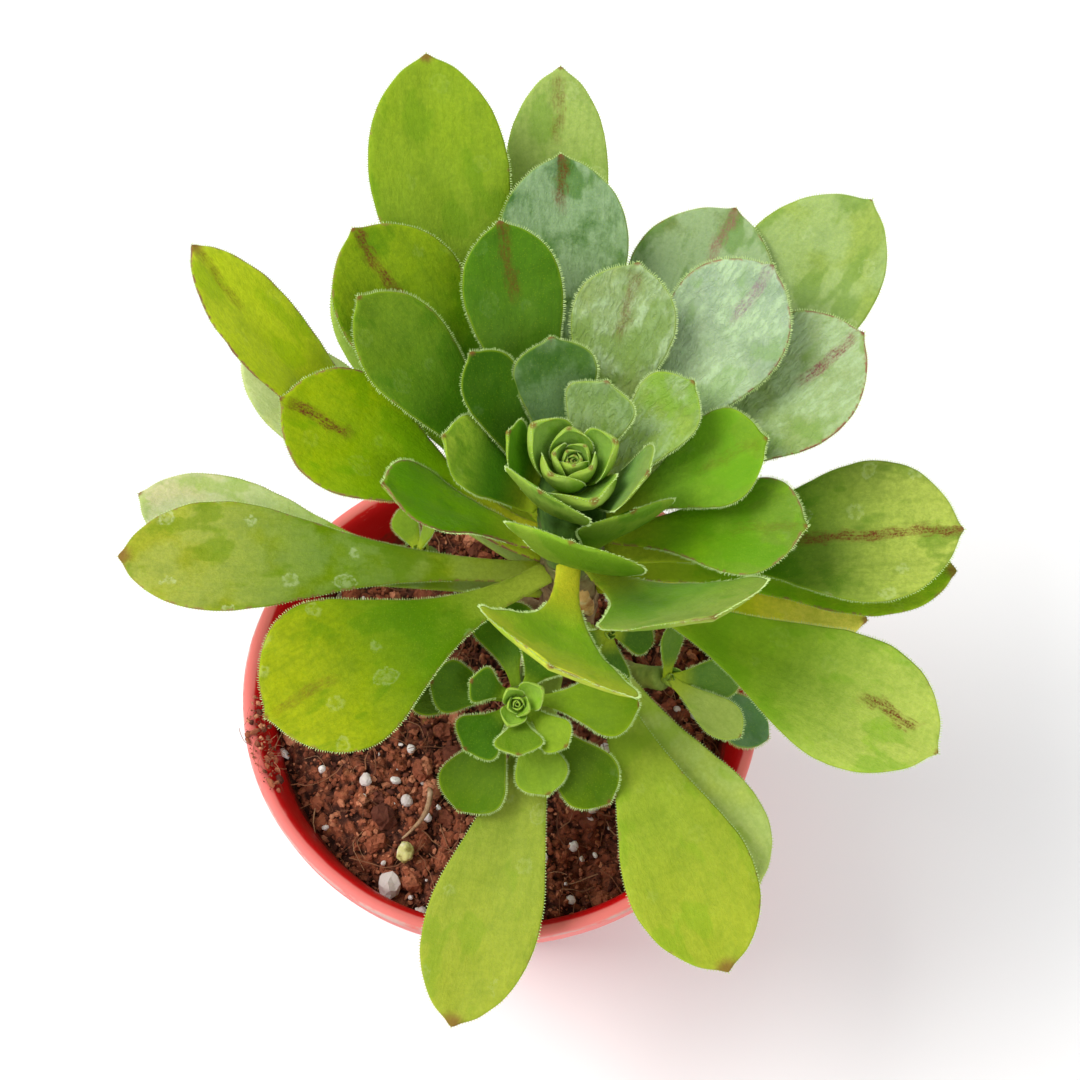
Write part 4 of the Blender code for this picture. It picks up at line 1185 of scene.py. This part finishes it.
def turned_mesh(name, section, steps, uneven=0.0):
    """A closed shape turned from its half section, whose first and last points are on the axis."""
    rings = section[1:-1]
    points = [(0.0, 0.0, section[0][1]), (0.0, 0.0, section[-1][1])]
    for radius, height in rings:
        for step in range(steps):
            angle = math.tau * step / steps
            top = max(0.0, (height - UNEVEN_FROM) / (POT_HEIGHT - UNEVEN_FROM))
            out = radius + uneven * top * wave(math.cos(angle) * 1.6, math.sin(angle) * 1.6)
            up = height + 0.6 * uneven * top * wave(math.cos(angle) * 1.3, math.sin(angle) * 1.3, 4.0)
            points.append((out * math.cos(angle), out * math.sin(angle), up))
    faces = []
    for step in range(steps):
        after = (step + 1) % steps
        faces.append((0, 2 + step, 2 + after))
        for ring in range(len(rings) - 1):
            start = 2 + ring * steps
            faces.append((start + step, start + steps + step, start + steps + after, start + after))
        last = 2 + (len(rings) - 1) * steps
        faces.append((1, last + after, last + step))
    mesh = bpy.data.meshes.new(name)
    mesh.from_pydata([tuple(c * MM for c in point) for point in points], [], faces)
    shape = bmesh.new()
    shape.from_mesh(mesh)
    bmesh.ops.recalc_face_normals(shape, faces=shape.faces)
    shape.to_mesh(mesh)
    shape.free()
    return mesh


def hole_cutter():
    """Six turned plugs, wider at both ends, so that every hole gets a soft rim."""
    section = (
        (0, 5.0), (4.2, 5.0), (3.6, 2.2), (3.1, 1.9), (3.0, 1.6),
        (3.0, 1.0), (3.1, 0.7), (3.6, 0.4), (4.2, -2.0), (0, -2.0),
    )
    merged = bmesh.new()
    for index in range(HOLE_COUNT):
        angle = math.tau * (index + 0.5) / HOLE_COUNT
        plug = turned_mesh("plug", section, PLUG_STEPS)
        move = (HOLE_CIRCLE * math.cos(angle) * MM, HOLE_CIRCLE * math.sin(angle) * MM, 0.0)
        plug.transform(Matrix.Translation(move))
        merged.from_mesh(plug)
    mesh = bpy.data.meshes.new("hole_cutter")
    merged.to_mesh(mesh)
    merged.free()
    cutter = bpy.data.objects.new("hole_cutter", mesh)
    scene.collection.objects.link(cutter)
    return cutter


def plastic_finish():
    """Red plastic: pale pink at the brim, partly bleached and partly a painted sheen, worn at its outer edge,
    soiled inside above the peat, splashed at the foot.
    """
    finish, sheet, shader = new_finish("pot_plastic", IOR=1.5, Specular_IOR_Level=0.3)
    place = sheet.object_place()
    x, y, z = sheet.split(place)
    radius = (x * x + y * y).math("SQRT")
    mottle = sheet.cloud(place, 60.0, 4.0, 0.6)
    fine = sheet.cloud(place, 1400.0, 2.0, 0.6)
    scuffs = sheet.cloud(sheet.combine(x * 0.25, y * 0.25, z), 900.0, 3.0, 0.7)
    colour = sheet.mix(sheet.fade(mottle, 0.3, 0.7), linear((194, 2, 6)), linear((208, 8, 12)))
    # Painted sheen and real bleaching: the lip's top and outer face turn pale pink.
    brim = sheet.fade(radius + (mottle - 0.5) * 0.0010, 0.0489, 0.0494) * sheet.fade(z, 0.072, 0.075)
    colour = sheet.mix(brim * 0.9, colour, linear((228, 122, 116)))
    worn = sheet.fade(radius, 0.0510, 0.0514) * sheet.fade(z, 0.0783, 0.0792)
    colour = sheet.mix(worn * sheet.fade(scuffs, 0.35, 0.6) * 0.8, colour, linear((196, 176, 168)))
    colour = sheet.mix(sheet.fade(scuffs, 0.62, 0.72) * 0.18, colour, linear((226, 150, 140)))
    wall_middle = WALL_FOOT * MM + z * WALL_SLOPE
    inside = sheet.fade(radius - wall_middle, 0.0002, -0.0002)
    soiled = sheet.fade(z + (sheet.cloud(place, 240.0, 4.0, 0.7) - 0.5) * 0.014, 0.0715, 0.0665) * inside
    colour = sheet.mix(soiled * 0.75, colour, linear((84, 44, 26)))
    splashes = sheet.fade(sheet.cloud(place, 420.0, 2.0), 0.66, 0.72) * sheet.fade(z, 0.045, 0.012)
    colour = sheet.mix(splashes * 0.6, colour, linear((120, 84, 60)))
    roughness = 0.34 + mottle * 0.12 + brim * 0.12 + soiled * 0.3 + scuffs * 0.08
    coat(sheet, shader, colour, roughness, 0.25, 0.0002, fine * 0.5 + scuffs * 0.8)
    return finish


cutter = hole_cutter()
pot = evaluated(
    "red_pot",
    turned_mesh("pot", POT_SECTION, POT_STEPS, uneven=0.45),
    [("BOOLEAN", {"operation": "DIFFERENCE", "solver": "EXACT", "object": cutter})],
)
bpy.data.objects.remove(cutter)
pot.materials.clear()
pot.materials.append(plastic_finish())
pot.shade_smooth()
keep_piece("red_pot", pot, "pot_plastic", ["pot"])
print("pot triangles:", triangle_count(pot))

# %% [markdown]
# ## Soil
# Peat looks rough at every size: clods, crumbs, coconut fibres and white grains of perlite. The ground is
# a closed height field. The rest is strewn by Geometry Nodes: one builder makes a tree for each shape,
# which scatters points over the ground, gives each a random turn and size, stores a random tint on it,
# crumples the result, and holds it inside the wall of the pot.

# %% Soil body
SOIL_LEVEL = 68.0
SOIL_RADIUS = 45.6
SOIL_RINGS = 110
SOIL_SECTORS = 320
# The middles of the bank, of the hollow in front and of the hollow's deepest part.
BANK = (-46.0, -8.0)
HOLLOW = (17.0, -31.0)
HOLLOW_FLOOR = (16.0, -32.0)
# The soil sinks towards the wall: from which radius, over what width, and by how much.
SINK_FROM = 37.5
SINK_WIDTH = 8.0
SINK_DEPTH = 5.5


def mound(x, y, centre, reach):
    """A round rise of height 1 over centre that is gone by about twice its reach."""
    distance = math.hypot(x - centre[0], y - centre[1]) / reach
    return math.exp(-distance * distance)


def clod_relief(x, y):
    """Height in mm of the clods over the ground between them, less in the cracks."""
    clods = 2.6 * abs(wave(x / 3.4, y / 3.4, 3.0)) ** 0.7 + 1.5 * abs(wave(x / 1.7, y / 1.7, 6.0)) ** 0.8
    return clods + 0.5 * wave(x / 0.7, y / 0.7, 9.0) - 1.4


def soil_height(x, y):
    """Height of the ground in mm: a gentle swell, a bank, a hollow, a sunken edge, and clods."""
    height = SOIL_LEVEL + 2.2 * wave(x / 9.0, y / 9.0)
    height += 6.5 * mound(x, y, BANK, 14.0) - 7.0 * mound(x, y, HOLLOW, 12.0)
    height -= 2.5 * mound(x, y, HOLLOW_FLOOR, 5.0)
    height -= SINK_DEPTH * min(1.0, max(0.0, (math.hypot(x, y) - SINK_FROM) / SINK_WIDTH)) ** 2
    return height + clod_relief(x, y)


def ground_points(radius, rings, sectors):
    """A disc of ground as points, none of them farther out than the middle of the pot's wall."""
    points = [(0.0, 0.0, soil_height(0.0, 0.0))]
    for ring in range(1, rings + 1):
        for sector in range(sectors):
            angle = math.tau * sector / sectors
            x = radius * ring / rings * math.cos(angle)
            y = radius * ring / rings * math.sin(angle)
            height = soil_height(x, y)
            held = min(1.0, (WALL_FOOT + height * WALL_SLOPE) / math.hypot(x, y))
            points.append((x * held, y * held, height))
    return points


def disc_faces(rings, sectors):
    """Faces of a disc whose first point is its middle; what is strewn on it depends on their order."""
    faces = []
    for sector in range(sectors):
        after = (sector + 1) % sectors
        faces.append((0, 1 + sector, 1 + after))
        for ring in range(rings - 1):
            start = 1 + ring * sectors
            faces.append((start + sector, start + sectors + sector, start + sectors + after, start + after))
    return faces


def mesh_of(name, points, faces):
    """A mesh from points in mm."""
    mesh = bpy.data.meshes.new(name)
    mesh.from_pydata([tuple(c * MM for c in point) for point in points], [], faces)
    return mesh


# The sides of the soil as height and radius, its floor, and the height below which it has no clods.
SOIL_SIDES = ((60.0, 43.4), (40.0, 38.5), (20.0, 33.7), (2.3, 29.2))
SOIL_FLOOR = 2.2
LOWEST_CLOD = 61.0


def soil_mesh():
    """The ground, closed by sides that follow the wall and by a floor."""
    points = ground_points(SOIL_RADIUS, SOIL_RINGS, SOIL_SECTORS)
    last = SOIL_RINGS
    for height, radius in SOIL_SIDES:
        for sector in range(SOIL_SECTORS):
            angle = math.tau * sector / SOIL_SECTORS
            out = radius + 0.25 * wave(math.cos(angle) * 9.0, math.sin(angle) * 9.0, height)
            points.append((out * math.cos(angle), out * math.sin(angle), height))
        last += 1
    faces = disc_faces(last, SOIL_SECTORS)
    points.append((0.0, 0.0, SOIL_FLOOR))
    start = 1 + (last - 1) * SOIL_SECTORS
    for sector in range(SOIL_SECTORS):
        faces.append((len(points) - 1, start + (sector + 1) % SOIL_SECTORS, start + sector))
    mesh = mesh_of("soil_ground", points, faces)
    relief = mesh.attributes.new("relief", "FLOAT", "POINT").data
    for index, (x, y, height) in enumerate(points):
        relief[index].value = clod_relief(x, y) if height > LOWEST_CLOD else 0.0
    return mesh


def soil_finish():
    """Peat with painted shade in the cracks and painted light on the clods, with a little green algae."""
    finish, sheet, shader = new_finish("soil_peat", IOR=1.35)
    place = sheet.object_place()
    lumps = sheet.cloud(place, 160.0, 5.0, 0.65)
    grit = sheet.cloud(place, 1300.0, 3.0, 0.7)
    relief = sheet.attribute("relief", NUMBER)
    # Painted shade and light: the lower the peat lies between the clods the darker it is, and the highest
    # clod tops are palest.
    high = relief + (lumps - 0.5) * 3.0
    colour = sheet.mix(sheet.fade(high, -0.9, 0.9), linear((60, 30, 22)), linear((156, 86, 58)))
    colour = sheet.mix(sheet.fade(high, 1.0, 2.4), colour, linear((196, 126, 90)))
    colour = sheet.mix(sheet.fade(grit, 0.55, 0.75) * 0.5, colour, linear((192, 132, 104)))
    colour = sheet.mix(sheet.fade(grit, 0.45, 0.28) * 0.7, colour, linear((60, 30, 22)))
    algae = sheet.fade(sheet.cloud(place, 90.0, 3.0), 0.60, 0.68) * sheet.fade(high, 0.2, 1.4)
    colour = sheet.mix(algae * 0.5, colour, linear((120, 128, 46)))
    coat(sheet, shader, colour, 0.82 + grit * 0.15, 0.9, 0.0006, grit + lumps)
    return finish


ground = soil_mesh()
ground.materials.append(soil_finish())
ground.shade_smooth()
keep_piece("soil_ground", ground, "soil_peat", ["soil"])
print("soil triangles:", triangle_count(ground))

# %% A tree that strews things over the ground
STREWN = ("Density", "Small", "Large", "Stretch", "Crumple", "Grain", "Lift", "Reach", "Flare")


def strewing_tree(name, make_shape, upright=1.0):
    """Strews the shape that make_shape draws; upright 0 lays it flat and 1 lets it stand any way.

    Nothing goes farther from the pot's axis than Reach, and Flare more for each metre of height.
    """
    tree = GrowingTree(name, STREWN)
    ground = tree.take("Geometry")
    sockets = {"Mesh": ground, "Density": tree.take("Density"), "Seed": tree.take("Seed")}
    points = tree.node("GeometryNodeDistributePointsOnFaces", None, sockets)
    seed = tree.take("Seed")
    x, y, z = tree.split(random_vector(tree, math.pi, seed))
    turn = tree.combine(x * upright, y * upright, z)
    share = random_number(tree, 0.0, 1.0, seed + 1.0)
    size = tree.take("Small") + (tree.take("Large") - tree.take("Small")) * share * share
    stretch = 1.0 + random_number(tree, 0.0, 1.0, seed + 2.0) * tree.take("Stretch")
    scale = tree.combine(size * stretch, size, size * random_number(tree, 0.6, 1.0, seed + 3.0))
    strewn = tree.plant(points, make_shape(tree), tree.turn(turn), scale)
    tint = random_number(tree, 0.0, 1.0, seed + 4.0)
    settings = {"data_type": "FLOAT", "domain": "INSTANCE"}
    sockets = {"Geometry": strewn, "Name": "tint", "Value": tint}
    tinted = tree.node("GeometryNodeStoreNamedAttribute", settings, sockets)
    real = tree.node("GeometryNodeRealizeInstances", None, {"Geometry": tinted})
    place = tree.node("GeometryNodeInputPosition")
    sockets = {"Vector": place, "Scale": tree.take("Grain"), "Detail": 3.0}
    noisy = tree.node("ShaderNodeTexNoise", {"noise_dimensions": "3D"}, sockets, 1)
    push = tree.node("ShaderNodeVectorMath", {"operation": "SUBTRACT"}, {0: noisy, 1: (0.5, 0.5, 0.5)})
    push = tree.node("ShaderNodeVectorMath", {"operation": "SCALE"}, {0: push, 3: tree.take("Crumple")})
    lifted = tree.add_vectors(push, tree.combine(0.0, 0.0, tree.take("Lift")))
    x, y, z = tree.split(tree.add_vectors(place, lifted))
    reach = tree.take("Reach") + z * tree.take("Flare")
    held = (reach / (x * x + y * y).math("SQRT")).math("MINIMUM", 1.0)
    sockets = {"Geometry": real, "Position": tree.combine(x * held, y * held, z)}
    tree.give(tree.node("GeometryNodeSetPosition", None, sockets), tree.take("Finish"))
    return tree


def lump_shape(fineness):
    """A maker of balls of unit width, which the tree crumples into lumps."""
    sockets = {"Radius": 0.5, "Subdivisions": fineness}
    return lambda tree: tree.node("GeometryNodeMeshIcoSphere", None, sockets)


def fibre_shape(tree):
    """A bent strand of unit length with three sides."""
    ends = {"Start": (-0.5, 0.0, 0.0), "Middle": (0.05, 0.35, 0.12), "End": (0.5, -0.1, 0.0), "Resolution": 7}
    line = tree.node("GeometryNodeCurveQuadraticBezier", None, ends)
    ring = tree.node("GeometryNodeCurvePrimitiveCircle", None, {"Resolution": 3, "Radius": 0.014})
    sockets = {"Curve": line, "Profile Curve": ring, "Fill Caps": True}
    return tree.node("GeometryNodeCurveToMesh", None, sockets)


def tinted_finish(name, dark, middle, light, roughness):
    """Each strewn bit takes its own tone from its tint."""
    finish, sheet, shader = new_finish(name, IOR=1.4)
    tint = sheet.attribute("tint", NUMBER)
    place = sheet.object_place()
    grit = sheet.cloud(place, 1500.0, 3.0, 0.6)
    colour = sheet.mix(sheet.fade(tint, 0.0, 0.6), linear(dark), linear(middle))
    colour = sheet.mix(sheet.fade(tint, 0.65, 1.0), colour, linear(light))
    colour = sheet.mix(sheet.fade(grit, 0.5, 0.3) * 0.5, colour, linear(dark))
    coat(sheet, shader, colour, roughness + grit * 0.2, 0.6, 0.0002, grit)
    return finish


crumb_tree = strewing_tree("strewn_crumbs", lump_shape(1))
grain_tree = strewing_tree("strewn_grains", lump_shape(2))
clod_tree = strewing_tree("strewn_clods", lump_shape(3))
fibre_tree = strewing_tree("strewn_fibres", fibre_shape, upright=0.12)
crumb_finish = tinted_finish("peat_crumb", (84, 42, 30), (158, 88, 60), (204, 136, 102), 0.75)
fibre_finish = tinted_finish("coconut_fibre", (112, 68, 46), (150, 98, 68), (184, 138, 104), 0.6)
perlite_finish = tinted_finish("perlite", (214, 204, 200), (238, 232, 230), (250, 248, 246), 0.7)
print("strewing inputs:", ", ".join(STREWN))

# %% Strew the soil
PATCH_RADIUS = 45.2
PATCH_RINGS = 36
PATCH_SECTORS = 110


def strew(patch, reach, flare, batches):
    """Strews batches over a patch of ground, inside reach mm and flare more for each mm of height."""
    for name, (tree, finish, seed, density, *shape) in batches.items():
        small, large, stretch, crumple, grain, lift = shape
        mesh = tree.grow(
            name, patch.copy(), Density=density, Small=small * MM, Large=large * MM, Stretch=stretch,
            Crumple=crumple * MM, Grain=grain, Lift=lift * MM, Reach=reach * MM, Flare=flare, Seed=seed,
            Finish=finish,
        )
        keep_piece(name, mesh, "soil_peat")
        print(name, triangle_count(mesh), "triangles")


patch_points = ground_points(PATCH_RADIUS, PATCH_RINGS, PATCH_SECTORS)
ground_patch = mesh_of("ground_patch", patch_points, disc_faces(PATCH_RINGS, PATCH_SECTORS))
# Each batch is its tree, finish and seed, its bits to the square metre, its smallest and largest size and
# most stretch, how deep and how finely it is crumpled, and how far it is lifted. Sizes are in mm.
strew(ground_patch, WALL_FOOT, WALL_SLOPE, {
    "soil_crumbs": (crumb_tree, crumb_finish, 11, 7.0e5, 0.35, 1.5, 0.9, 1.1, 900.0, 0.25),
    "soil_clods": (clod_tree, crumb_finish, 12, 3.0e4, 1.5, 4.6, 0.6, 2.8, 900.0, 0.1),
    "soil_perlite": (grain_tree, perlite_finish, 13, 1.6e4, 0.7, 2.6, 0.4, 0.8, 700.0, 0.7),
    "soil_fibres": (fibre_tree, fibre_finish, 14, 5.0e4, 3.0, 12.0, 0.3, 4.0, 150.0, 1.1),
})

# %% [markdown]
# ## What has gathered on it
# A plant that has been handled carries small accidents: fibres and crumbs dragged over the brim, a pale
# dry root and a husk on the soil, larger lumps of perlite, and dried leaf stalks that cling to the stem.

# %% Debris over the brim
# A strip of ground lies along the brim. These are the radius, heading and height of its middle, and how
# far it goes from there along the brim and across it.
SPILL_RADIUS = 48.8
SPILL_HEADING = 196.0
SPILL_TOP = 80.4
SPILL_ALONG = 11.0
SPILL_ACROSS = 2.3
SPILL_RINGS = 5
SPILL_SECTORS = 24
# The brim is flat between these radii, and the strip droops by these shares inside and outside them.
BRIM_CREST = (49.0, 50.6)
DROOP_INSIDE = 0.5
DROOP_OUTSIDE = 0.30
BRIM_RADIUS = 50.0
# No spilled bit is farther out than this.
SPILL_REACH = 54.0


def spill_points():
    """A strip of ground lying over the brim, from which the spilled bits are strewn."""
    heading = math.radians(SPILL_HEADING)
    points = [(SPILL_RADIUS * math.cos(heading), SPILL_RADIUS * math.sin(heading), SPILL_TOP)]
    for ring in range(1, SPILL_RINGS + 1):
        for sector in range(SPILL_SECTORS):
            angle = math.tau * sector / SPILL_SECTORS
            radius = SPILL_RADIUS + SPILL_ACROSS * ring / SPILL_RINGS * math.cos(angle)
            turn = heading + SPILL_ALONG * ring / SPILL_RINGS * math.sin(angle) / BRIM_RADIUS
            within, beyond = max(0.0, BRIM_CREST[0] - radius), max(0.0, radius - BRIM_CREST[1])
            height = SPILL_TOP - DROOP_OUTSIDE * beyond**2 - DROOP_INSIDE * within**2
            points.append((radius * math.cos(turn), radius * math.sin(turn), height))
    return points


spill_patch = mesh_of("spill_patch", spill_points(), disc_faces(SPILL_RINGS, SPILL_SECTORS))
strew(spill_patch, SPILL_REACH, 0.0, {
    "spilled_crumbs": (crumb_tree, crumb_finish, 21, 1.1e6, 0.3, 1.5, 0.9, 0.9, 700.0, 0.1),
    "spilled_fibres": (fibre_tree, fibre_finish, 22, 4.0e5, 1.5, 5.5, 0.3, 1.6, 260.0, 0.2),
})

# %% Strands: a root and dried stalks
def strand_mesh(name, route, sides=9, steps=7):
    """A closed tapering strand along a smooth line through the route's points."""
    route, radii = np.array(route)[:, :3], np.array(route)[:, 3]
    line = spline_rows(route[:, None], (2 * route[-1] - route[-2])[None], steps)[:, 0]
    widths = np.interp(np.linspace(0, 1, len(line)), np.linspace(0, 1, len(radii)), radii)
    points = []
    side = np.array([0.0, 0.0, 1.0])
    for k, centre in enumerate(line):
        forward = line[min(k + 1, len(line) - 1)] - line[max(k - 1, 0)]
        forward /= np.linalg.norm(forward)
        side = side - forward * (side @ forward)
        side /= np.linalg.norm(side)
        across = np.cross(forward, side)
        for turn in range(sides):
            angle = math.tau * turn / sides
            swell = widths[k] * (1.0 + 0.25 * wave(k * 0.45, turn * 0.9, len(line)))
            points.append(centre + swell * (side * math.cos(angle) + across * math.sin(angle)))
    faces = [(a, d, c, b) for a, b, c, d in tube_faces(len(line), sides)]
    first, last = len(points), len(points) + 1
    points += [line[0], line[-1]]
    end = (len(line) - 1) * sides
    for turn in range(sides):
        after = (turn + 1) % sides
        faces.append((first, after, turn))
        faces.append((last, end + turn, end + after))
    mesh = mesh_of(name, points, faces)
    mesh.shade_smooth()
    return mesh


def dry_finish(name, dark, middle, light):
    """Dead plant matter: patchy, gritty and dull."""
    finish, sheet, shader = new_finish(name, IOR=1.4, Subsurface_Weight=0.05, Subsurface_Scale=0.001)
    place = sheet.object_place()
    patches = sheet.cloud(place, 420.0, 3.0, 0.6)
    grit = sheet.cloud(place, 1800.0, 2.0, 0.6)
    colour = sheet.mix(sheet.fade(patches, 0.3, 0.5), linear(dark), linear(middle))
    colour = sheet.mix(sheet.fade(patches, 0.5, 0.7), colour, linear(light))
    coat(sheet, shader, colour, 0.55 + grit * 0.3, 0.6, 0.0003, grit + patches)
    return finish


ROOT_DRY = dry_finish("dry_root", (132, 100, 72), (176, 142, 108), (206, 180, 150))
STALK_DRY = dry_finish("dry_stalk", (176, 112, 52), (226, 180, 110), (242, 218, 160))
STALK_DEAD = dry_finish("dead_stalk", (70, 44, 26), (140, 96, 58), (196, 150, 100))
# Each strand is its finish and its route, as x, y, z and radius, in mm.
STRANDS = {
    "dry_root": (ROOT_DRY, (
        (-14.6, -17.6, 69.6, 0.45), (-14.2, -20.4, 71.6, 0.6), (-14.9, -23.6, 71.4, 0.55),
        (-17.0, -26.4, 70.6, 0.4), (-19.6, -28.4, 69.2, 0.2),
    )),
    "dry_stalk_front": (STALK_DRY, (
        (14.4, 9.8, 108.6, 0.8), (15.2, 8.6, 103.6, 1.7), (16.4, 8.0, 99.0, 1.5), (17.2, 8.2, 95.6, 0.6),
    )),
    "dead_stalk": (STALK_DEAD, (
        (12.6, 9.4, 84.0, 1.3), (13.2, 5.2, 88.2, 1.4), (13.6, 2.0, 92.6, 1.0), (13.2, 0.8, 96.2, 0.35),
    )),
}
for name, (finish, route) in STRANDS.items():
    mesh = strand_mesh(name, route)
    mesh.materials.append(finish)
    keep_piece(name, mesh, "soil_peat" if name == "dry_root" else "stem_bark")
print("strands:", ", ".join(STRANDS))

# %% Bits lying on the soil
def pebble(name, place, size, finish, seed, smooth):
    """A crumpled lump at a chosen place, rounded if smooth and chipped if not."""
    shape = bmesh.new()
    bmesh.ops.create_icosphere(shape, subdivisions=4 if smooth else 2, radius=0.5)
    for corner in shape.verts:
        lump = 1.0 + 0.30 * wave(*(corner.co * 2.6 + Vector((seed, 0, 0))))
        lump += 0.12 * wave(*(corner.co * 7.0))
        corner.co = Vector([c * s * lump + p for c, s, p in zip(corner.co, size, place)]) * MM
    mesh = bpy.data.meshes.new(name)
    shape.to_mesh(mesh)
    shape.free()
    mesh.materials.append(finish)
    if smooth:
        mesh.shade_smooth()
    keep_piece(name, mesh, "soil_peat")


SEED_HUSK = dry_finish("seed_husk", (150, 140, 70), (206, 202, 130), (232, 228, 190))
LUMPS = {
    "perlite_large": ((-22.0, -37.4, 67.6), (4.6, 5.6, 4.0), perlite_finish, 1.0, False),
    "perlite_middle": ((-27.3, -16.6, 70.2), (2.4, 2.8, 2.2), perlite_finish, 2.0, False),
    "perlite_brim": ((-15.6, -42.4, 66.6), (2.6, 2.4, 2.0), perlite_finish, 3.0, False),
    "seed_husk": ((-18.9, -31.4, 70.0), (3.2, 4.2, 2.6), SEED_HUSK, 4.0, True),
}
for name, lump in LUMPS.items():
    pebble(name, *lump)
print("lumps on the soil:", len(LUMPS))

# %% Floor
FLOOR_HALF = 3.0
# The floor lies this far under the pot, so the two don't share a plane.
FLOOR_DROP = 0.0002
corners = [(x * FLOOR_HALF, y * FLOOR_HALF, 0.0) for x, y in ((-1, -1), (1, -1), (1, 1), (-1, 1))]
floor_mesh = bpy.data.meshes.new("floor")
floor_mesh.from_pydata(corners, [], [(0, 1, 2, 3)])
floor_mesh.materials.append(new_finish("floor_white", Base_Color=linear((245, 245, 245)), Roughness=0.9)[0])
floor = bpy.data.objects.new("floor", floor_mesh)
floor.location.z = -FLOOR_DROP
scene.collection.objects.link(floor)
